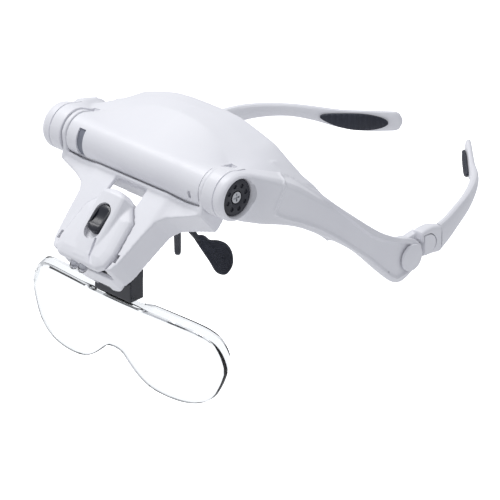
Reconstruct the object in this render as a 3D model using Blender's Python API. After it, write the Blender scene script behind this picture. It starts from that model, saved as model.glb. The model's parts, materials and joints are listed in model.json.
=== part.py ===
"""Head visor magnifier: a battery housing worn on the forehead, with a flip-up lens arm, a tilting lamp,
a removable panoramic lens and two folding-down temples.

Design sizes are millimetres, turned into metres when a mesh is made. They are measured from the middle of the
front hinge: X points to the wearer's left, Y to the back of the head and Z up. At the end the whole model is
seated so that its lowest point is at height 0, with X and Y centred.
"""

import math

import bmesh
import bpy
from mathutils import Matrix, Vector

# ---------------------------------------------------------------- driving sizes, in millimetres and degrees
MM = 0.001
GAP = 0.3  # between pieces that rest on each other
RUNNING = 0.6  # between pieces that move past each other
WALL = 1.8  # thickness of the moulded casing

TUBE_RADIUS = 9.7  # front tube, which is also the lens arm's hinge
TUBE_HALF = 41.8  # half its length, up to the slot for the arm
PLATE = 2.6  # thickness of the lens arm's hinge plates
HUB_RADIUS = 10.9
HUB_LENGTH = 12.3  # of each hub, outside its slot
KNOB_RADIUS = 8.4
KNOB_DEPTH = 5.0
KNOB_RECESS = 1.4
SLEEVE_RADIUS = 7.0
SLEEVE_REACH = 7.0
SCREW_RADIUS = 1.5

CREST = (20.5, 16.9)  # crease above the front panel, at the middle
RIM = (39.5, 12.5)  # rear top edge, at the middle
RIM_TAB_HALF = 14.0  # the rim is lower between its two tabs
FOOT = (28.0, -3.5)  # lower edge of the forehead side, at the middle

ARM_SPREAD = 22.5  # how far an arm flares out from hub to cap
ARM_FLARE = 76.0  # Y at which it stops flaring
CAP_Y, CAP_Z = 85.0, -49.0  # temple pivot
CAP_RADIUS = 6.4
CAP_THICK = 1.6
ARM_END_THICK = 4.4
ARM_END_RADIUS = 8.6

CELL_RADIUS = 5.2
CELL_LENGTH = 44.5
CELL_SEATS = ((0.6, 0.2), (11.9, 2.6), (22.9, 5.6))  # Y and Z of the three cells

ARM_SLOPE = 40.0  # the yoke points forward and this much down
YOKE_TOP = 10.4  # where its front face starts, along the slope from the hinge
YOKE_TOE = 54.0  # where it ends
YOKE_WALL = 2.0
YOKE_DEPTH = 14.5  # depth of its side walls
TOE_RADIUS = 18.5
TOE_DEPTH = 25.0  # depth of the toe under the front face
WINDOW_HALF = 9.9

LAMP_TOP = 19.0  # along the slope
LAMP_END = 55.0
LAMP_HALF = 16.2
LAMP_AXIS = (46.5, -3.3)  # tilt axis: along the slope, and above the front face
LAMP_DEPTH = 7.0
TONGUE_RISE = 4.6
TONGUE_HALF = 7.2
SWITCH_MIDDLE = 34.0
LED_RADIUS = 2.1
LED_SPACING = 5.4

CLIP_AXIS = (47.0, -18.0)  # along the slope, and below the front face
CLIP_HALF = 11.7
CLIP_DEPTH = 7.4

LENS_HALF = 59.8
LENS_TOP = -62.8
LENS_BOTTOM = -99.6
LENS_MIDDLE_Y = -21.8
LENS_END_Y = -14.6
LENS_THICK = 2.4
LENS_FLANGE = 5.0  # depth of its return edge along the top

TEMPLE_THICK = 4.6
TEMPLE_HEIGHT = 13.0
TEMPLE_TIP_HEIGHT = 8.5

NOSE_PAD = (11.5, 29.0, -54.0)
NOSE_PAD_SIZE = (13.0, 19.0, 2.6)

SLOPE = math.radians(ARM_SLOPE)
PLATE_INNER = TUBE_HALF + 0.4
PLATE_OUTER = PLATE_INNER + PLATE
HUB_INNER = PLATE_OUTER + 0.4
HUB_FACE = HUB_INNER + HUB_LENGTH

# ---------------------------------------------------------------- scene and materials
for old in list(bpy.data.objects):
    bpy.data.objects.remove(old, do_unlink=True)


def material(name, colour, roughness, metallic=0.0, alpha=1.0):
    made = bpy.data.materials.new(name)
    made.use_nodes = True
    shader = made.node_tree.nodes["Principled BSDF"]
    shader.inputs["Base Color"].default_value = (*colour, 1.0)
    shader.inputs["Roughness"].default_value = roughness
    shader.inputs["Metallic"].default_value = metallic
    shader.inputs["Alpha"].default_value = alpha
    return made


WHITE = material("white_plastic", (0.80, 0.80, 0.83), 0.35)
BLACK = material("black_plastic", (0.015, 0.018, 0.03), 0.35)
SOFT = material("black_rubber", (0.02, 0.022, 0.03), 0.7)
GREY = material("grey_plastic", (0.25, 0.26, 0.29), 0.5)
STEEL = material("screw_steel", (0.6, 0.6, 0.6), 0.3, 1.0)
CLEAR = material("clear_acrylic", (0.9, 0.93, 0.95), 0.05, 0.0, 0.35)
CELL = material("cell_wrap", (0.1, 0.25, 0.15), 0.4)
BOARD = material("circuit_board", (0.05, 0.25, 0.12), 0.5)

BODIES = {}  # body name -> list of its objects


def add(name, bm, finish, body):
    """Makes the object of one piece from a bmesh in millimetres, and empties the bmesh."""
    bmesh.ops.remove_doubles(bm, verts=bm.verts, dist=1e-4)
    bmesh.ops.recalc_face_normals(bm, faces=bm.faces)
    bmesh.ops.triangulate(bm, faces=bm.faces)  # a Boolean needs flat faces
    if bm.calc_volume(signed=True) < 0:
        bmesh.ops.reverse_faces(bm, faces=bm.faces)
    bmesh.ops.scale(bm, vec=Vector((MM, MM, MM)), verts=bm.verts)
    mesh = bpy.data.meshes.new(name)
    bm.to_mesh(mesh)
    bm.free()
    mesh.shade_smooth()
    mesh.set_sharp_from_angle(angle=math.radians(35))
    if finish:
        mesh.materials.append(finish)
    piece = bpy.data.objects.new(name, mesh)
    bpy.context.scene.collection.objects.link(piece)
    if body:
        BODIES.setdefault(body, []).append(piece)
    return piece


def combine(piece, others, operation):
    """Unites, cuts or intersects a piece with helper objects, which are then removed."""
    for other in others:
        step = piece.modifiers.new("step", "BOOLEAN")
        step.operation = operation
        step.solver = "EXACT"
        step.object = other
        bpy.context.view_layer.update()
        graph = bpy.context.evaluated_depsgraph_get()
        shaped = bpy.data.meshes.new_from_object(piece.evaluated_get(graph))
        piece.modifiers.remove(step)
        old = piece.data
        flat = bmesh.new()
        flat.from_mesh(shaped)
        bmesh.ops.triangulate(flat, faces=flat.faces)
        flat.to_mesh(shaped)
        flat.free()
        piece.data = shaped
        shaped.name = old.name
        bpy.data.meshes.remove(old)
        bpy.data.objects.remove(other, do_unlink=True)
    return piece


def cut(piece, *others):
    return combine(piece, others, "DIFFERENCE")


def join(piece, *others):
    return combine(piece, others, "UNION")


# ---------------------------------------------------------------- shapes
def loft(name, rings, finish=None, body=None):
    """A closed body through rings of points, all with the same count, capped at both ends."""
    bm = bmesh.new()
    loops = [[bm.verts.new(point) for point in ring] for ring in rings]
    count = len(loops[0])
    for near, far in zip(loops, loops[1:]):
        for i in range(count):
            j = (i + 1) % count
            bm.faces.new((near[i], near[j], far[j], far[i]))
    bm.faces.new(loops[0])
    bm.faces.new(loops[-1])
    return add(name, bm, finish, body)


def along_x(y, z, radius, x, sides, squash=1.0):
    """A ring about an axis along X."""
    turn = [2 * math.pi * i / sides for i in range(sides)]
    return [(x, y + radius * math.cos(a), z + radius * squash * math.sin(a)) for a in turn]


def turned_x(name, profile, y=0.0, z=0.0, sides=28, finish=None, body=None):
    """A turned piece about an axis along X, from (x, radius) pairs."""
    return loft(name, [along_x(y, z, r, x, sides) for x, r in profile], finish, body)


def prism(name, outline, to_world, low, high, finish=None, body=None):
    """An outline of (u, v) points, extruded from low to high along the frame's third direction."""
    rings = [[to_world(u, v, w) for u, v in outline] for w in (low, high)]
    return loft(name, rings, finish, body)


def block(name, low, high, finish=None, body=None):
    outline = [(low[0], low[1]), (high[0], low[1]), (high[0], high[1]), (low[0], high[1])]
    return prism(name, outline, lambda u, v, w: (u, v, w), low[2], high[2], finish, body)


def sloped(x, s, n):
    """A point in the lens arm's frame: x, distance down the slope, height above the front face."""
    y = -s * math.cos(SLOPE) - n * math.sin(SLOPE)
    z = -s * math.sin(SLOPE) + n * math.cos(SLOPE)
    return (x, y, z)


def mirrored(half):
    """A whole outline from the half with x >= 0, given from its first point to its last."""
    back = [(-x, s) for x, s in reversed(half) if x > 1e-6]
    return list(half) + back


def arc(cx, cy, radius, start, end, steps):
    """Points of an arc, with angles in degrees."""
    turn = [math.radians(start + (end - start) * i / steps) for i in range(steps + 1)]
    return [(cx + radius * math.cos(a), cy + radius * math.sin(a)) for a in turn]


def slot_outline(length, radius, steps=6):
    """A slot with round ends along v."""
    half = length / 2 - radius
    return arc(0, half, radius, 0, 180, steps) + arc(0, -half, radius, 180, 360, steps)


def mix(a, b, t):
    return a + (b - a) * t


def along(table, x):
    """Reads a smooth value between the rows of an ordered (x, value, ...) table."""
    for low, high in zip(table, table[1:]):
        if x <= high[0]:
            t = max(0.0, (x - low[0]) / (high[0] - low[0]))
            return [mix(a, b, t) for a, b in zip(low[1:], high[1:])]
    return list(table[-1][1:])


# ---------------------------------------------------------------- front shell
# Housing sections across X: crest Y, Z, rim Y, Z, foot Y, Z.
HOUSING = (
    (0.0, *CREST, *RIM, *FOOT),
    (15.0, CREST[0] - 0.6, CREST[1] - 1.3, RIM[0], RIM[1] - 0.2, FOOT[0] + 0.8, FOOT[1] - 0.4),
    (22.0, CREST[0] - 1.9, CREST[1] - 3.2, RIM[0] - 0.3, RIM[1] - 1.0, FOOT[0] + 2.0, FOOT[1] - 1.0),
    (30.0, CREST[0] - 4.6, CREST[1] - 5.8, RIM[0] - 0.6, RIM[1] - 2.5, FOOT[0] + 4.0, FOOT[1] - 2.4),
    (TUBE_HALF, 7.6, 7.2, RIM[0] - 0.6, RIM[1] - 6.3, FOOT[0] + 8.0, FOOT[1] - 5.5),
    (HUB_FACE - 7.5, 9.0, 7.4, RIM[0], RIM[1] - 10.4, FOOT[0] + 11.5, FOOT[1] - 9.5),
    (HUB_FACE - 2.0, 9.5, 6.0, RIM[0] + 1.5, RIM[1] - 14.5, FOOT[0] + 14.5, FOOT[1] - 13.5),
)
ARC_STEPS = 12


def housing_ring(x, inset=0.0, behind=0.0):
    """The housing's section at x, made smaller by inset and reaching further back by behind."""
    crest_y, crest_z, rim_y, rim_z, foot_y, foot_z = along(HOUSING, abs(x))
    radius = (TUBE_RADIUS if abs(x) < (TUBE_HALF + HUB_INNER) / 2 else HUB_RADIUS) - inset
    crest_y -= inset * 0.3
    crest_z -= inset
    reach = max(math.hypot(crest_y, crest_z), radius + 1e-3)
    top = math.degrees(math.atan2(crest_z, crest_y) + math.acos(radius / reach))
    ring = arc(0, 0, radius, 285, top, ARC_STEPS)
    band = ((crest_y + rim_y) / 2, (crest_z + rim_z) / 2 + 1.6 - inset)
    lean = 4.0
    ring += [(crest_y, crest_z), band, (rim_y + behind, rim_z - inset)]
    climb = (foot_z + TUBE_RADIUS) / foot_y
    ring += [(rim_y + behind - lean / 2, rim_z - lean + inset * 0.4)]
    ring += [(foot_y + behind, foot_z + inset + behind * climb)]
    return [(x, y, z) for y, z in ring]


def rear_ring(x, offset):
    """A section at x of everything in front of the forehead side, which is moved by offset."""
    rim_y, rim_z, foot_y, foot_z = along(HOUSING, abs(x))[2:]
    rear = [(rim_y + offset, 60.0), (rim_y + offset, rim_z), (rim_y - 2.0 + offset, rim_z - 4.0)]
    rear += [(foot_y + offset, foot_z), (foot_y + offset - 8.0, -60.0)]
    return [(x, y, z) for y, z in [(-60.0, -60.0), (-60.0, 60.0), *rear]]


def in_front(name, offset):
    stations = sorted({side * row[0] for row in HOUSING for side in (1, -1)})
    return loft(name, [rear_ring(x, offset) for x in stations])


def housing(name, inset=0.0, behind=0.0, half=None, finish=None, body=None):
    limit = half or HOUSING[-1][0]
    stations = [row[0] for row in HOUSING if row[0] < limit] + [limit]
    stations = sorted({-x for x in stations} | set(stations))
    return loft(name, [housing_ring(x, inset, behind) for x in stations], finish, body)


# Side arm sections along Y: lowest Z, ridge Z, rim Z, and how far inward the rim and the inner face lie.
ARM = (
    (1.0, -11.5, 9.0, 9.6, 4.0, 12.0),
    (4.0, -14.0, 8.0, 9.0, 5.0, 12.0),
    (12.0, -15.6, 5.6, 8.0, 7.0, 11.0),
    (20.0, -16.8, 2.0, 6.0, 8.0, 10.0),
    (30.0, -21.0, -4.6, 2.4, 7.0, 9.0),
    (42.0, -29.0, -13.2, -8.4, 4.0, 6.4),
    (52.0, -36.6, -20.0, -17.4, 2.2, 5.0),
    (62.0, -46.4, -27.4, -26.0, 1.4, ARM_END_THICK),
    (69.0, -53.6, -32.8, -31.6, 1.2, ARM_END_THICK),
    (75.0, -58.8, -36.4, -35.6, 1.0, ARM_END_THICK),
    (80.0, -60.0, -38.6, -38.0, 0.8, ARM_END_THICK),
    (86.0, -57.8, -40.4, -40.0, 0.6, ARM_END_THICK),
    (90.0, -55.6, -42.6, -42.2, 0.6, ARM_END_THICK),
    (92.6, -52.8, -45.4, -45.2, 0.6, ARM_END_THICK),
    (93.7, -50.4, -47.8, -47.7, 0.6, ARM_END_THICK),
)


def arm_face(y):
    """X of a side arm's outer face."""
    u = min(max(y / ARM_FLARE, 0.0), 1.0)
    return HUB_FACE + ARM_SPREAD * (1.3 * u - 0.3 * u**3)


def arm_ring(y, side):
    low, ridge, rim, lean, thick = along(ARM, y)
    x = arm_face(y)
    soft = min(1.6, (ridge - low) / 4)
    ring = [(x - soft, low), (x, low + soft), (x, (low + ridge) / 2), (x, ridge), (x - lean, rim)]
    ring += [(x - thick, rim - soft), (x - thick, low + soft), (x - thick + soft / 2, low)]
    return [(side * u, y, v) for u, v in ring]


def side_arm(name, side):
    return loft(name, [arm_ring(row[0], side) for row in ARM])


def make_front_shell():
    shell = housing("front_shell", finish=WHITE, body="visor")
    for side in (1, -1):
        join(shell, side_arm("arm", side))
        hub = turned_x("hub", [(side * (HUB_INNER + 0.2), HUB_RADIUS), (side * HUB_FACE, HUB_RADIUS)])
        join(shell, hub)
    # The hollow for the cells opens to the forehead side.
    cut(shell, housing("hollow", inset=WALL, behind=14.0, half=TUBE_HALF - 4.5))
    for side in (1, -1):
        slot_low = side * TUBE_HALF
        slot_high = side * HUB_INNER
        cut(shell, turned_x("slot", [(slot_low, HUB_RADIUS + 0.5), (slot_high, HUB_RADIUS + 0.5)], sides=36))
        open_front = [(14, -14), (-20, -30), (-20, 12), (-6.0, 12.4), (8.2, 8.4), (9.5, -2)]
        swing = prism("swing", open_front, lambda u, v, w: (w, u, v), slot_low, slot_high)
        cut(shell, swing)
        cut(
            shell,
            turned_x(
                "bore",
                [(side * (TUBE_HALF - 8.4), SLEEVE_RADIUS + 0.4), (slot_low + side, SLEEVE_RADIUS + 0.4)]
            )
        )
        recess = HUB_FACE - KNOB_DEPTH - KNOB_RECESS - 0.4
        cut(
            shell,
            turned_x(
                "recess", [(side * recess, KNOB_RADIUS + 0.4), (side * (HUB_FACE + 9), KNOB_RADIUS + 0.4)]
            )
        )
        cut(
            shell,
            turned_x(
                "screw_way",
                [(slot_high - side, SCREW_RADIUS + 0.4), (side * (recess + 1), SCREW_RADIUS + 0.4)],
                sides=16
            )
        )
        # Hole for the temple pivot.
        face = arm_face(CAP_Y)
        cut(
            shell,
            turned_x("pivot_way", [(side * (face - 12), 3.0), (side * (face + 4), 3.0)], CAP_Y, CAP_Z, 20)
        )
    # Tabs stand up at both sides of the low middle of the rim.
    notch = block("notch", (-RIM_TAB_HALF, RIM[0] - 7, RIM[1] - 1.0), (RIM_TAB_HALF, RIM[0] + 9, RIM[1] + 9))
    cut(shell, notch)
    # The arc slot that shows the sleeve at the wearer's right end, and the small square vent at the left end.
    arc_cut = arc(0, 0, TUBE_RADIUS + 3, 96, 196, 12) + arc(0, 0, SLEEVE_RADIUS + 0.2, 196, 96, 12)
    cut(shell, prism("arc_slot", arc_cut, lambda u, v, w: (w, u, v), -(TUBE_HALF - 3.2), -(TUBE_HALF - 6.4)))
    vent = [(-8, 4.0), (-13, 4.0), (-13, 6.6), (-8, 6.6)]
    cut(shell, prism("vent", vent, lambda u, v, w: (w, u, v - 6.5), TUBE_HALF - 7.4, TUBE_HALF - 5.8))
    return shell




# ---------------------------------------------------------------- forehead side
HOLLOW_HALF = TUBE_HALF - 4.5
DOOR_HALF = 25.0
DOOR_LOW, DOOR_HIGH = -1.0, 7.0
COVER_SCREW_X, COVER_SCREW_Z = 31.5, 0.0


def rear_sheet(name, finish=None, body=None):
    """The plate that closes the hollow, its outer face just inside the casing's edge."""
    sheet = housing(name, WALL + GAP, 14.0, HOLLOW_HALF - GAP, finish, body)
    combine(sheet, [in_front("outer", -0.4)], "INTERSECT")
    return cut(sheet, in_front("inner", -0.4 - WALL))


def screw(name, x, y, z, length, head_radius, shaft_radius, head_height, body, direction=(0, 1, 0)):
    """A round-head screw whose head faces along direction, with a cross slot."""
    profile = [(-length, shaft_radius), (0.0, shaft_radius), (0.0, head_radius), (head_height, head_radius)]
    made = turned_x(name, profile, sides=16, finish=STEEL, body=body)
    arm_length, arm_width = head_radius * 0.7, head_radius * 0.16
    for low, high in ((arm_length, arm_width), (arm_width, arm_length)):
        cut(made, block("cross", (head_height * 0.45, -low, -high), (head_height + 1, low, high)))
    turn = Vector((1, 0, 0)).rotation_difference(Vector(direction)).to_matrix().to_4x4()
    made.data.transform(Matrix.Translation(Vector((x, y, z)) * MM) @ turn)
    return made


def rear_face_y(x, z):
    """Y of the forehead side's outer face at a height."""
    rim_y, rim_z, foot_y, foot_z = along(HOUSING, abs(x))[2:]
    share = (z - foot_z) / (rim_z - 4.0 - foot_z)
    return mix(foot_y, rim_y - 2.0, share) - 0.4


def make_forehead_side():
    cover = rear_sheet("rear_cover", WHITE, "visor")
    for side in (1, -1):
        y = rear_face_y(COVER_SCREW_X, COVER_SCREW_Z)
        seat = turned_x("boss", [(-7.0, 3.4), (-0.9, 3.4)], sides=20)
        turn = Matrix.Rotation(math.radians(90), 4, "Z")
        place = Matrix.Translation(Vector((side * COVER_SCREW_X, y, COVER_SCREW_Z)) * MM) @ turn
        seat.data.transform(place)
        join(cover, seat)
        for low, high, radius in ((-9.0, 9.0, 1.4), (-2.6, 9.0, 2.5)):
            bore = turned_x("bore", [(low, radius), (high, radius)], sides=16)
            bore.data.transform(place)
            cut(cover, bore)
        screw(f"cover_screw_{'left' if side > 0 else 'right'}", side * COVER_SCREW_X, y - 2.3, COVER_SCREW_Z,
              6.0, 2.1, 1.1, 1.2, "visor")
    cut(cover, block("door_way", (-DOOR_HALF, 10, DOOR_LOW), (DOOR_HALF, 60, DOOR_HIGH)))
    door = rear_sheet("battery_door", WHITE, "visor")
    room = ((-DOOR_HALF + GAP, 10, DOOR_LOW + GAP), (DOOR_HALF - GAP, 60, DOOR_HIGH - GAP))
    combine(door, [block("door_room", *room)], "INTERSECT")


def coil(name, centre, radius, wire, length, turns, body):
    """A spring along X, starting at centre."""
    steps, sides = turns * 10, 6
    wire_x = math.copysign(wire, length)
    rings = []
    for i in range(steps + 1):
        a = 2 * math.pi * turns * i / steps
        out = (0.0, math.cos(a), math.sin(a))
        x = centre[0] + wire_x + (length - 2 * wire_x) * i / steps
        middle = Vector((x, centre[1] + radius * out[1], centre[2] + radius * out[2]))
        ring = []
        for k in range(sides):
            b = 2 * math.pi * k / sides
            ring.append(middle + wire * (math.cos(b) * Vector(out) + math.sin(b) * Vector((1, 0, 0))))
        rings.append(ring)
    return loft(name, rings, STEEL, body)


def make_battery():
    half = CELL_LENGTH / 2
    for number, (y, z) in enumerate(CELL_SEATS, 1):
        side = 1 if number % 2 else -1
        button = half + 0.0
        profile = [(-half, CELL_RADIUS - 0.3), (-half + 0.3, CELL_RADIUS), (half - 1.2, CELL_RADIUS)]
        profile += [(half - 1.0, CELL_RADIUS - 0.4), (half - 1.0, 1.9), (button, 1.9)]
        turned_x(f"cell_{number}", [(side * x, r) for x, r in profile], y, z, 20, CELL, "visor")
        coil(f"contact_spring_{number}", (side * (-half - GAP), y, z), 2.6, 0.3, -side * 3.2, 3, "visor")
    low, high = CELL_SEATS[0], CELL_SEATS[-1]
    plate = [
        (low[0] - 4, low[1] - 4), (high[0] + 4, high[1] - 4), (high[0] + 4, high[1] + 4),
        (low[0] - 4, low[1] + 4)
    ]
    to_world = lambda u, v, w: (w, u, v)
    reach = half + GAP + 3.2 + GAP
    for side, name in ((1, "contact_plate_left"), (-1, "contact_plate_right")):
        prism(name, plate, to_world, side * reach, side * (reach + 0.5), STEEL, "visor")
    tray = [(-4.0, -5.5), (4.0, -5.3), (16.0, -3.3), (25.5, -1.0)]
    under = [(y, z - 0.9) for y, z in reversed(tray)]
    prism("cell_tray", tray + under, to_world, -reach, reach, GREY, "visor")


# ---------------------------------------------------------------- nose rest
def pad_point(side, across, up, out):
    """A point of a nose pad: across its face, up, and out of it towards the nose."""
    x = NOSE_PAD[0] + (across - out) * math.sqrt(0.5)
    y = NOSE_PAD[1] + (across + out) * math.sqrt(0.5)
    return (side * x, y, NOSE_PAD[2] + up)


def make_nose_rest():
    half_wide, half_tall, thick = (size / 2 for size in NOSE_PAD_SIZE)
    outline = [
        (-half_wide * 0.2, half_tall), (half_wide * 0.5, half_tall * 0.9),
        (half_wide * 0.9, half_tall * 0.45)
    ]
    outline += [
        (half_wide, -half_tall * 0.05), (half_wide * 0.86, -half_tall * 0.55),
        (half_wide * 0.35, -half_tall * 0.95)
    ]
    outline += [
        (-half_wide * 0.15, -half_tall * 0.9), (-half_wide * 0.6, -half_tall * 0.3),
        (-half_wide * 0.75, half_tall * 0.4)
    ]
    rise = -0.9 - TUBE_RADIUS
    plate = [
        (3.0, rise + 0.45), (20.0, rise + 4.4), (20.0, rise + 2.4), (16.5, rise - 3.0), (12.0, rise - 2.2),
        (3.0, rise - 1.4)
    ]
    bracket = prism("nose_bracket", plate, lambda u, v, w: (w, u, v), -7.0, 7.0, BLACK, "visor")
    for side, name in ((1, "nose_pad_left"), (-1, "nose_pad_right")):
        rings = []
        for share, out in ((0.8, -thick), (1.0, -thick * 0.4), (1.0, thick * 0.4), (0.8, thick)):
            rings.append([pad_point(side, u * share, v * share, out) for u, v in outline])
        loft(name, rings, SOFT, "visor")
        end = Vector(pad_point(side, -1.0, 4.0, -thick - GAP - 1.4))
        way = [
            Vector((side * 4.0, 15.0, rise + 0.5)), Vector((side * 4.2, 17.5, -26.0)),
            Vector((side * 6.0, 21.5, -41.0)), end
        ]
        rings = []
        for point, radius in zip(way, (2.6, 2.2, 1.9, 1.3)):
            rings.append([point + Vector((radius * math.cos(a), radius * math.sin(a), 0.0)) for a in
                          (2 * math.pi * i / 10 for i in range(10))])
        join(bracket, loft("leg", rings))


# ---------------------------------------------------------------- lens arm
YOKE_HALF = (
    (0.0, YOKE_TOP),
    (PLATE_OUTER - 0.3, YOKE_TOP),
    (PLATE_OUTER - 0.3, YOKE_TOP + 2.4),
    (42.0, YOKE_TOP + 4.4),
    (33.2, YOKE_TOP + 7.4),
    (27.5, YOKE_TOP + 10.0),
    (24.4, YOKE_TOP + 14.2),
    (22.9, YOKE_TOE - 21.2),
    (21.5, YOKE_TOE - 13.0),
    (20.3, YOKE_TOE - 6.0),
    (18.4, YOKE_TOE - 1.6),
    (14.0, YOKE_TOE),
    (0.0, YOKE_TOE),
)
LAMP_OUTLINE = (
    (3.6, LAMP_TOP),
    (8.2, LAMP_TOP + 2.4),
    (LAMP_HALF - 1.6, LAMP_TOP + 10.2),
    (LAMP_HALF - 1.1, LAMP_TOP + 15.0),
    (LAMP_HALF + 0.4, LAMP_AXIS[0]),
    (LAMP_HALF - 0.6, LAMP_END - 2.6),
    (LAMP_HALF - 4.2, LAMP_END),
)


def inset_half(half, by):
    """A half outline moved inwards by a distance along every edge, with its corners kept sharp."""
    moved = []
    for i, (x, s) in enumerate(half):
        before = half[i - 1] if i else (-half[1][0], half[1][1])
        after = half[i + 1] if i + 1 < len(half) else (-half[-2][0], half[-2][1])
        into = Vector((before[1] - s, x - before[0])).normalized()
        onward = Vector((s - after[1], after[0] - x)).normalized()
        shift = (into + onward) * by / (1 + into.dot(onward))
        moved.append((max(x + shift.x, 0.0), s + shift.y))
    return moved


def toe_ring(s, radius, drop):
    """A U section across the toe: half round below, straight sides above."""
    middle = radius - drop
    ring = [(x, n) for x, n in arc(0, middle, radius, 0, -180, 16)]
    return [sloped(x, s, n) for x, n in [(radius, 9.0), *ring, (-radius, 9.0)]]


def make_yoke():
    outline = mirrored(YOKE_HALF)
    yoke = prism("yoke_frame", outline, sloped, -TOE_DEPTH - 2, 0.0, WHITE, "lens_arm")
    # Side walls of one depth, and a deeper half-round toe.
    keep = prism("walls", [(-60, 0), (60, 0), (60, 70), (-60, 70)], sloped, -YOKE_DEPTH, 4.0)
    deep = [
        toe_ring(YOKE_TOE - 22, TOE_RADIUS, YOKE_DEPTH - 1), toe_ring(YOKE_TOE - 10, TOE_RADIUS, TOE_DEPTH)
    ]
    join(keep, loft("toe", [*deep, toe_ring(YOKE_TOE + 4, TOE_RADIUS, TOE_DEPTH)]))
    combine(yoke, [keep], "INTERSECT")
    # The channel behind the front face, open at the back.
    inner = [(0.0, YOKE_TOP + YOKE_WALL), (36.0, YOKE_TOP + YOKE_WALL), *inset_half(YOKE_HALF, YOKE_WALL)[4:]]
    channel = prism("channel", mirrored(inner), sloped, -TOE_DEPTH - 9, -YOKE_WALL)
    radius = TOE_RADIUS - YOKE_WALL
    steps = [
        (YOKE_TOE - 40, YOKE_DEPTH + 2), (YOKE_TOE - 8, TOE_DEPTH - YOKE_WALL),
        (YOKE_TOE - YOKE_WALL, TOE_DEPTH - YOKE_WALL)
    ]
    trough = loft("trough", [toe_ring(s, radius, drop) for s, drop in steps])
    limit = prism("limit", [(-60, 0), (60, 0), (60, YOKE_TOE - 17), (-60, YOKE_TOE - 17)], sloped, -60, 4.0)
    join(trough, limit)
    combine(channel, [trough], "INTERSECT")
    cut(yoke, channel)
    # The window and the opening that the lamp sits in.
    room = RUNNING
    opening = [(WINDOW_HALF, 2.0), (WINDOW_HALF, YOKE_TOP)]
    opening += [(x + room, s) for x, s in LAMP_OUTLINE[2:5]]
    opening += [(LAMP_OUTLINE[5][0] + room, YOKE_TOE - 2.5), (LAMP_OUTLINE[6][0] + room, YOKE_TOE + 6)]
    cut(yoke, prism("opening", mirrored(opening), sloped, -9.0, 9.0))
    rib_top, rib_low = YOKE_TOP + 0.2, YOKE_TOP + 2.3
    rib = [(-WINDOW_HALF - 2.5, rib_top), (WINDOW_HALF + 2.5, rib_top)]
    rib += [(WINDOW_HALF + 2.5, rib_low), (-WINDOW_HALF - 2.5, rib_low)]
    join(yoke, prism("rib", rib, sloped, -YOKE_DEPTH + 0.2, -3.4))
    for side in (1, -1):
        cheek = arc(0, 0, TUBE_RADIUS + 0.5, 53, 270, 24)
        cheek += [
            (YOKE_TOP - 2.0, -YOKE_DEPTH + 0.4), (YOKE_TOP + 4.0, -YOKE_DEPTH + 0.4), (YOKE_TOP + 4.0, -1.0)
        ]
        cheek += [(YOKE_TOP + 3.0, 0.2), (YOKE_TOP + 0.3, 2.0)]
        join(
            yoke,
            prism("plate", cheek, lambda s, n, x: sloped(x, s, n), side * PLATE_INNER, side * PLATE_OUTER)
        )
        ways = (side * (PLATE_INNER - 1), side * (PLATE_OUTER + 1))
        cut(yoke, turned_x("screw_way", [(x, SCREW_RADIUS + 0.4) for x in ways], sides=16))
        # Latch notch beside the lamp, and the bore for the clip's pin.
        x = LAMP_OUTLINE[4][0]
        s, n = LAMP_AXIS
        notch = [
            (side * (x - 1), s - 2.0), (side * (x + 2.2), s - 2.1), (side * (x + 2.2), s + 2.1),
            (side * (x - 1), s + 2.0)
        ]
        cut(yoke, prism("notch", notch, sloped, n - 2.0, 5.0))
    return yoke


def make_hinge():
    for side, name in ((1, "left"), (-1, "right")):
        low, high = TUBE_HALF - SLEEVE_REACH, PLATE_INNER - GAP
        sleeve = turned_x(f"pivot_sleeve_{name}", [(side * low, SLEEVE_RADIUS), (side * high, SLEEVE_RADIUS)], sides=28,
                          finish=GREY, body="lens_arm")
        cut(
            sleeve,
            turned_x(
                "way",
                [(side * (low + 2.0), SCREW_RADIUS + 0.15), (side * (high + 2), SCREW_RADIUS + 0.15)],
                sides=16
            )
        )
        inner = HUB_FACE - KNOB_RECESS - KNOB_DEPTH
        outer = HUB_FACE - KNOB_RECESS
        profile = [(inner, KNOB_RADIUS), (outer - 0.5, KNOB_RADIUS), (outer, KNOB_RADIUS - 0.5), (outer, 3.2)]
        profile += [(outer - 1.2, 3.0), (outer - 1.2, 0.001)]
        knob = turned_x(
            f"hinge_knob_{name}", [(side * x, r) for x, r in profile[:4]], sides=32, finish=BLACK,
            body="lens_arm"
        )
        cut(knob, turned_x("seat", [(side * (outer - 1.6), 3.0), (side * (outer + 2), 3.0)], sides=20))
        cut(
            knob,
            turned_x(
                "way", [(side * (inner - 2), SCREW_RADIUS + 0.3), (side * (outer + 2), SCREW_RADIUS + 0.3)],
                sides=16
            )
        )
        length = outer - 1.3 - (low + 2.3)
        screw(
            f"hinge_screw_{name}", side * (outer - 1.3), 0, 0, length, 2.6, SCREW_RADIUS, 1.0, "lens_arm",
            (side, 0, 0)
        )


# ---------------------------------------------------------------- lamp
def tongue_height(s):
    return TONGUE_RISE + 1.6 - 0.12 * (s - LAMP_TOP)


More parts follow.
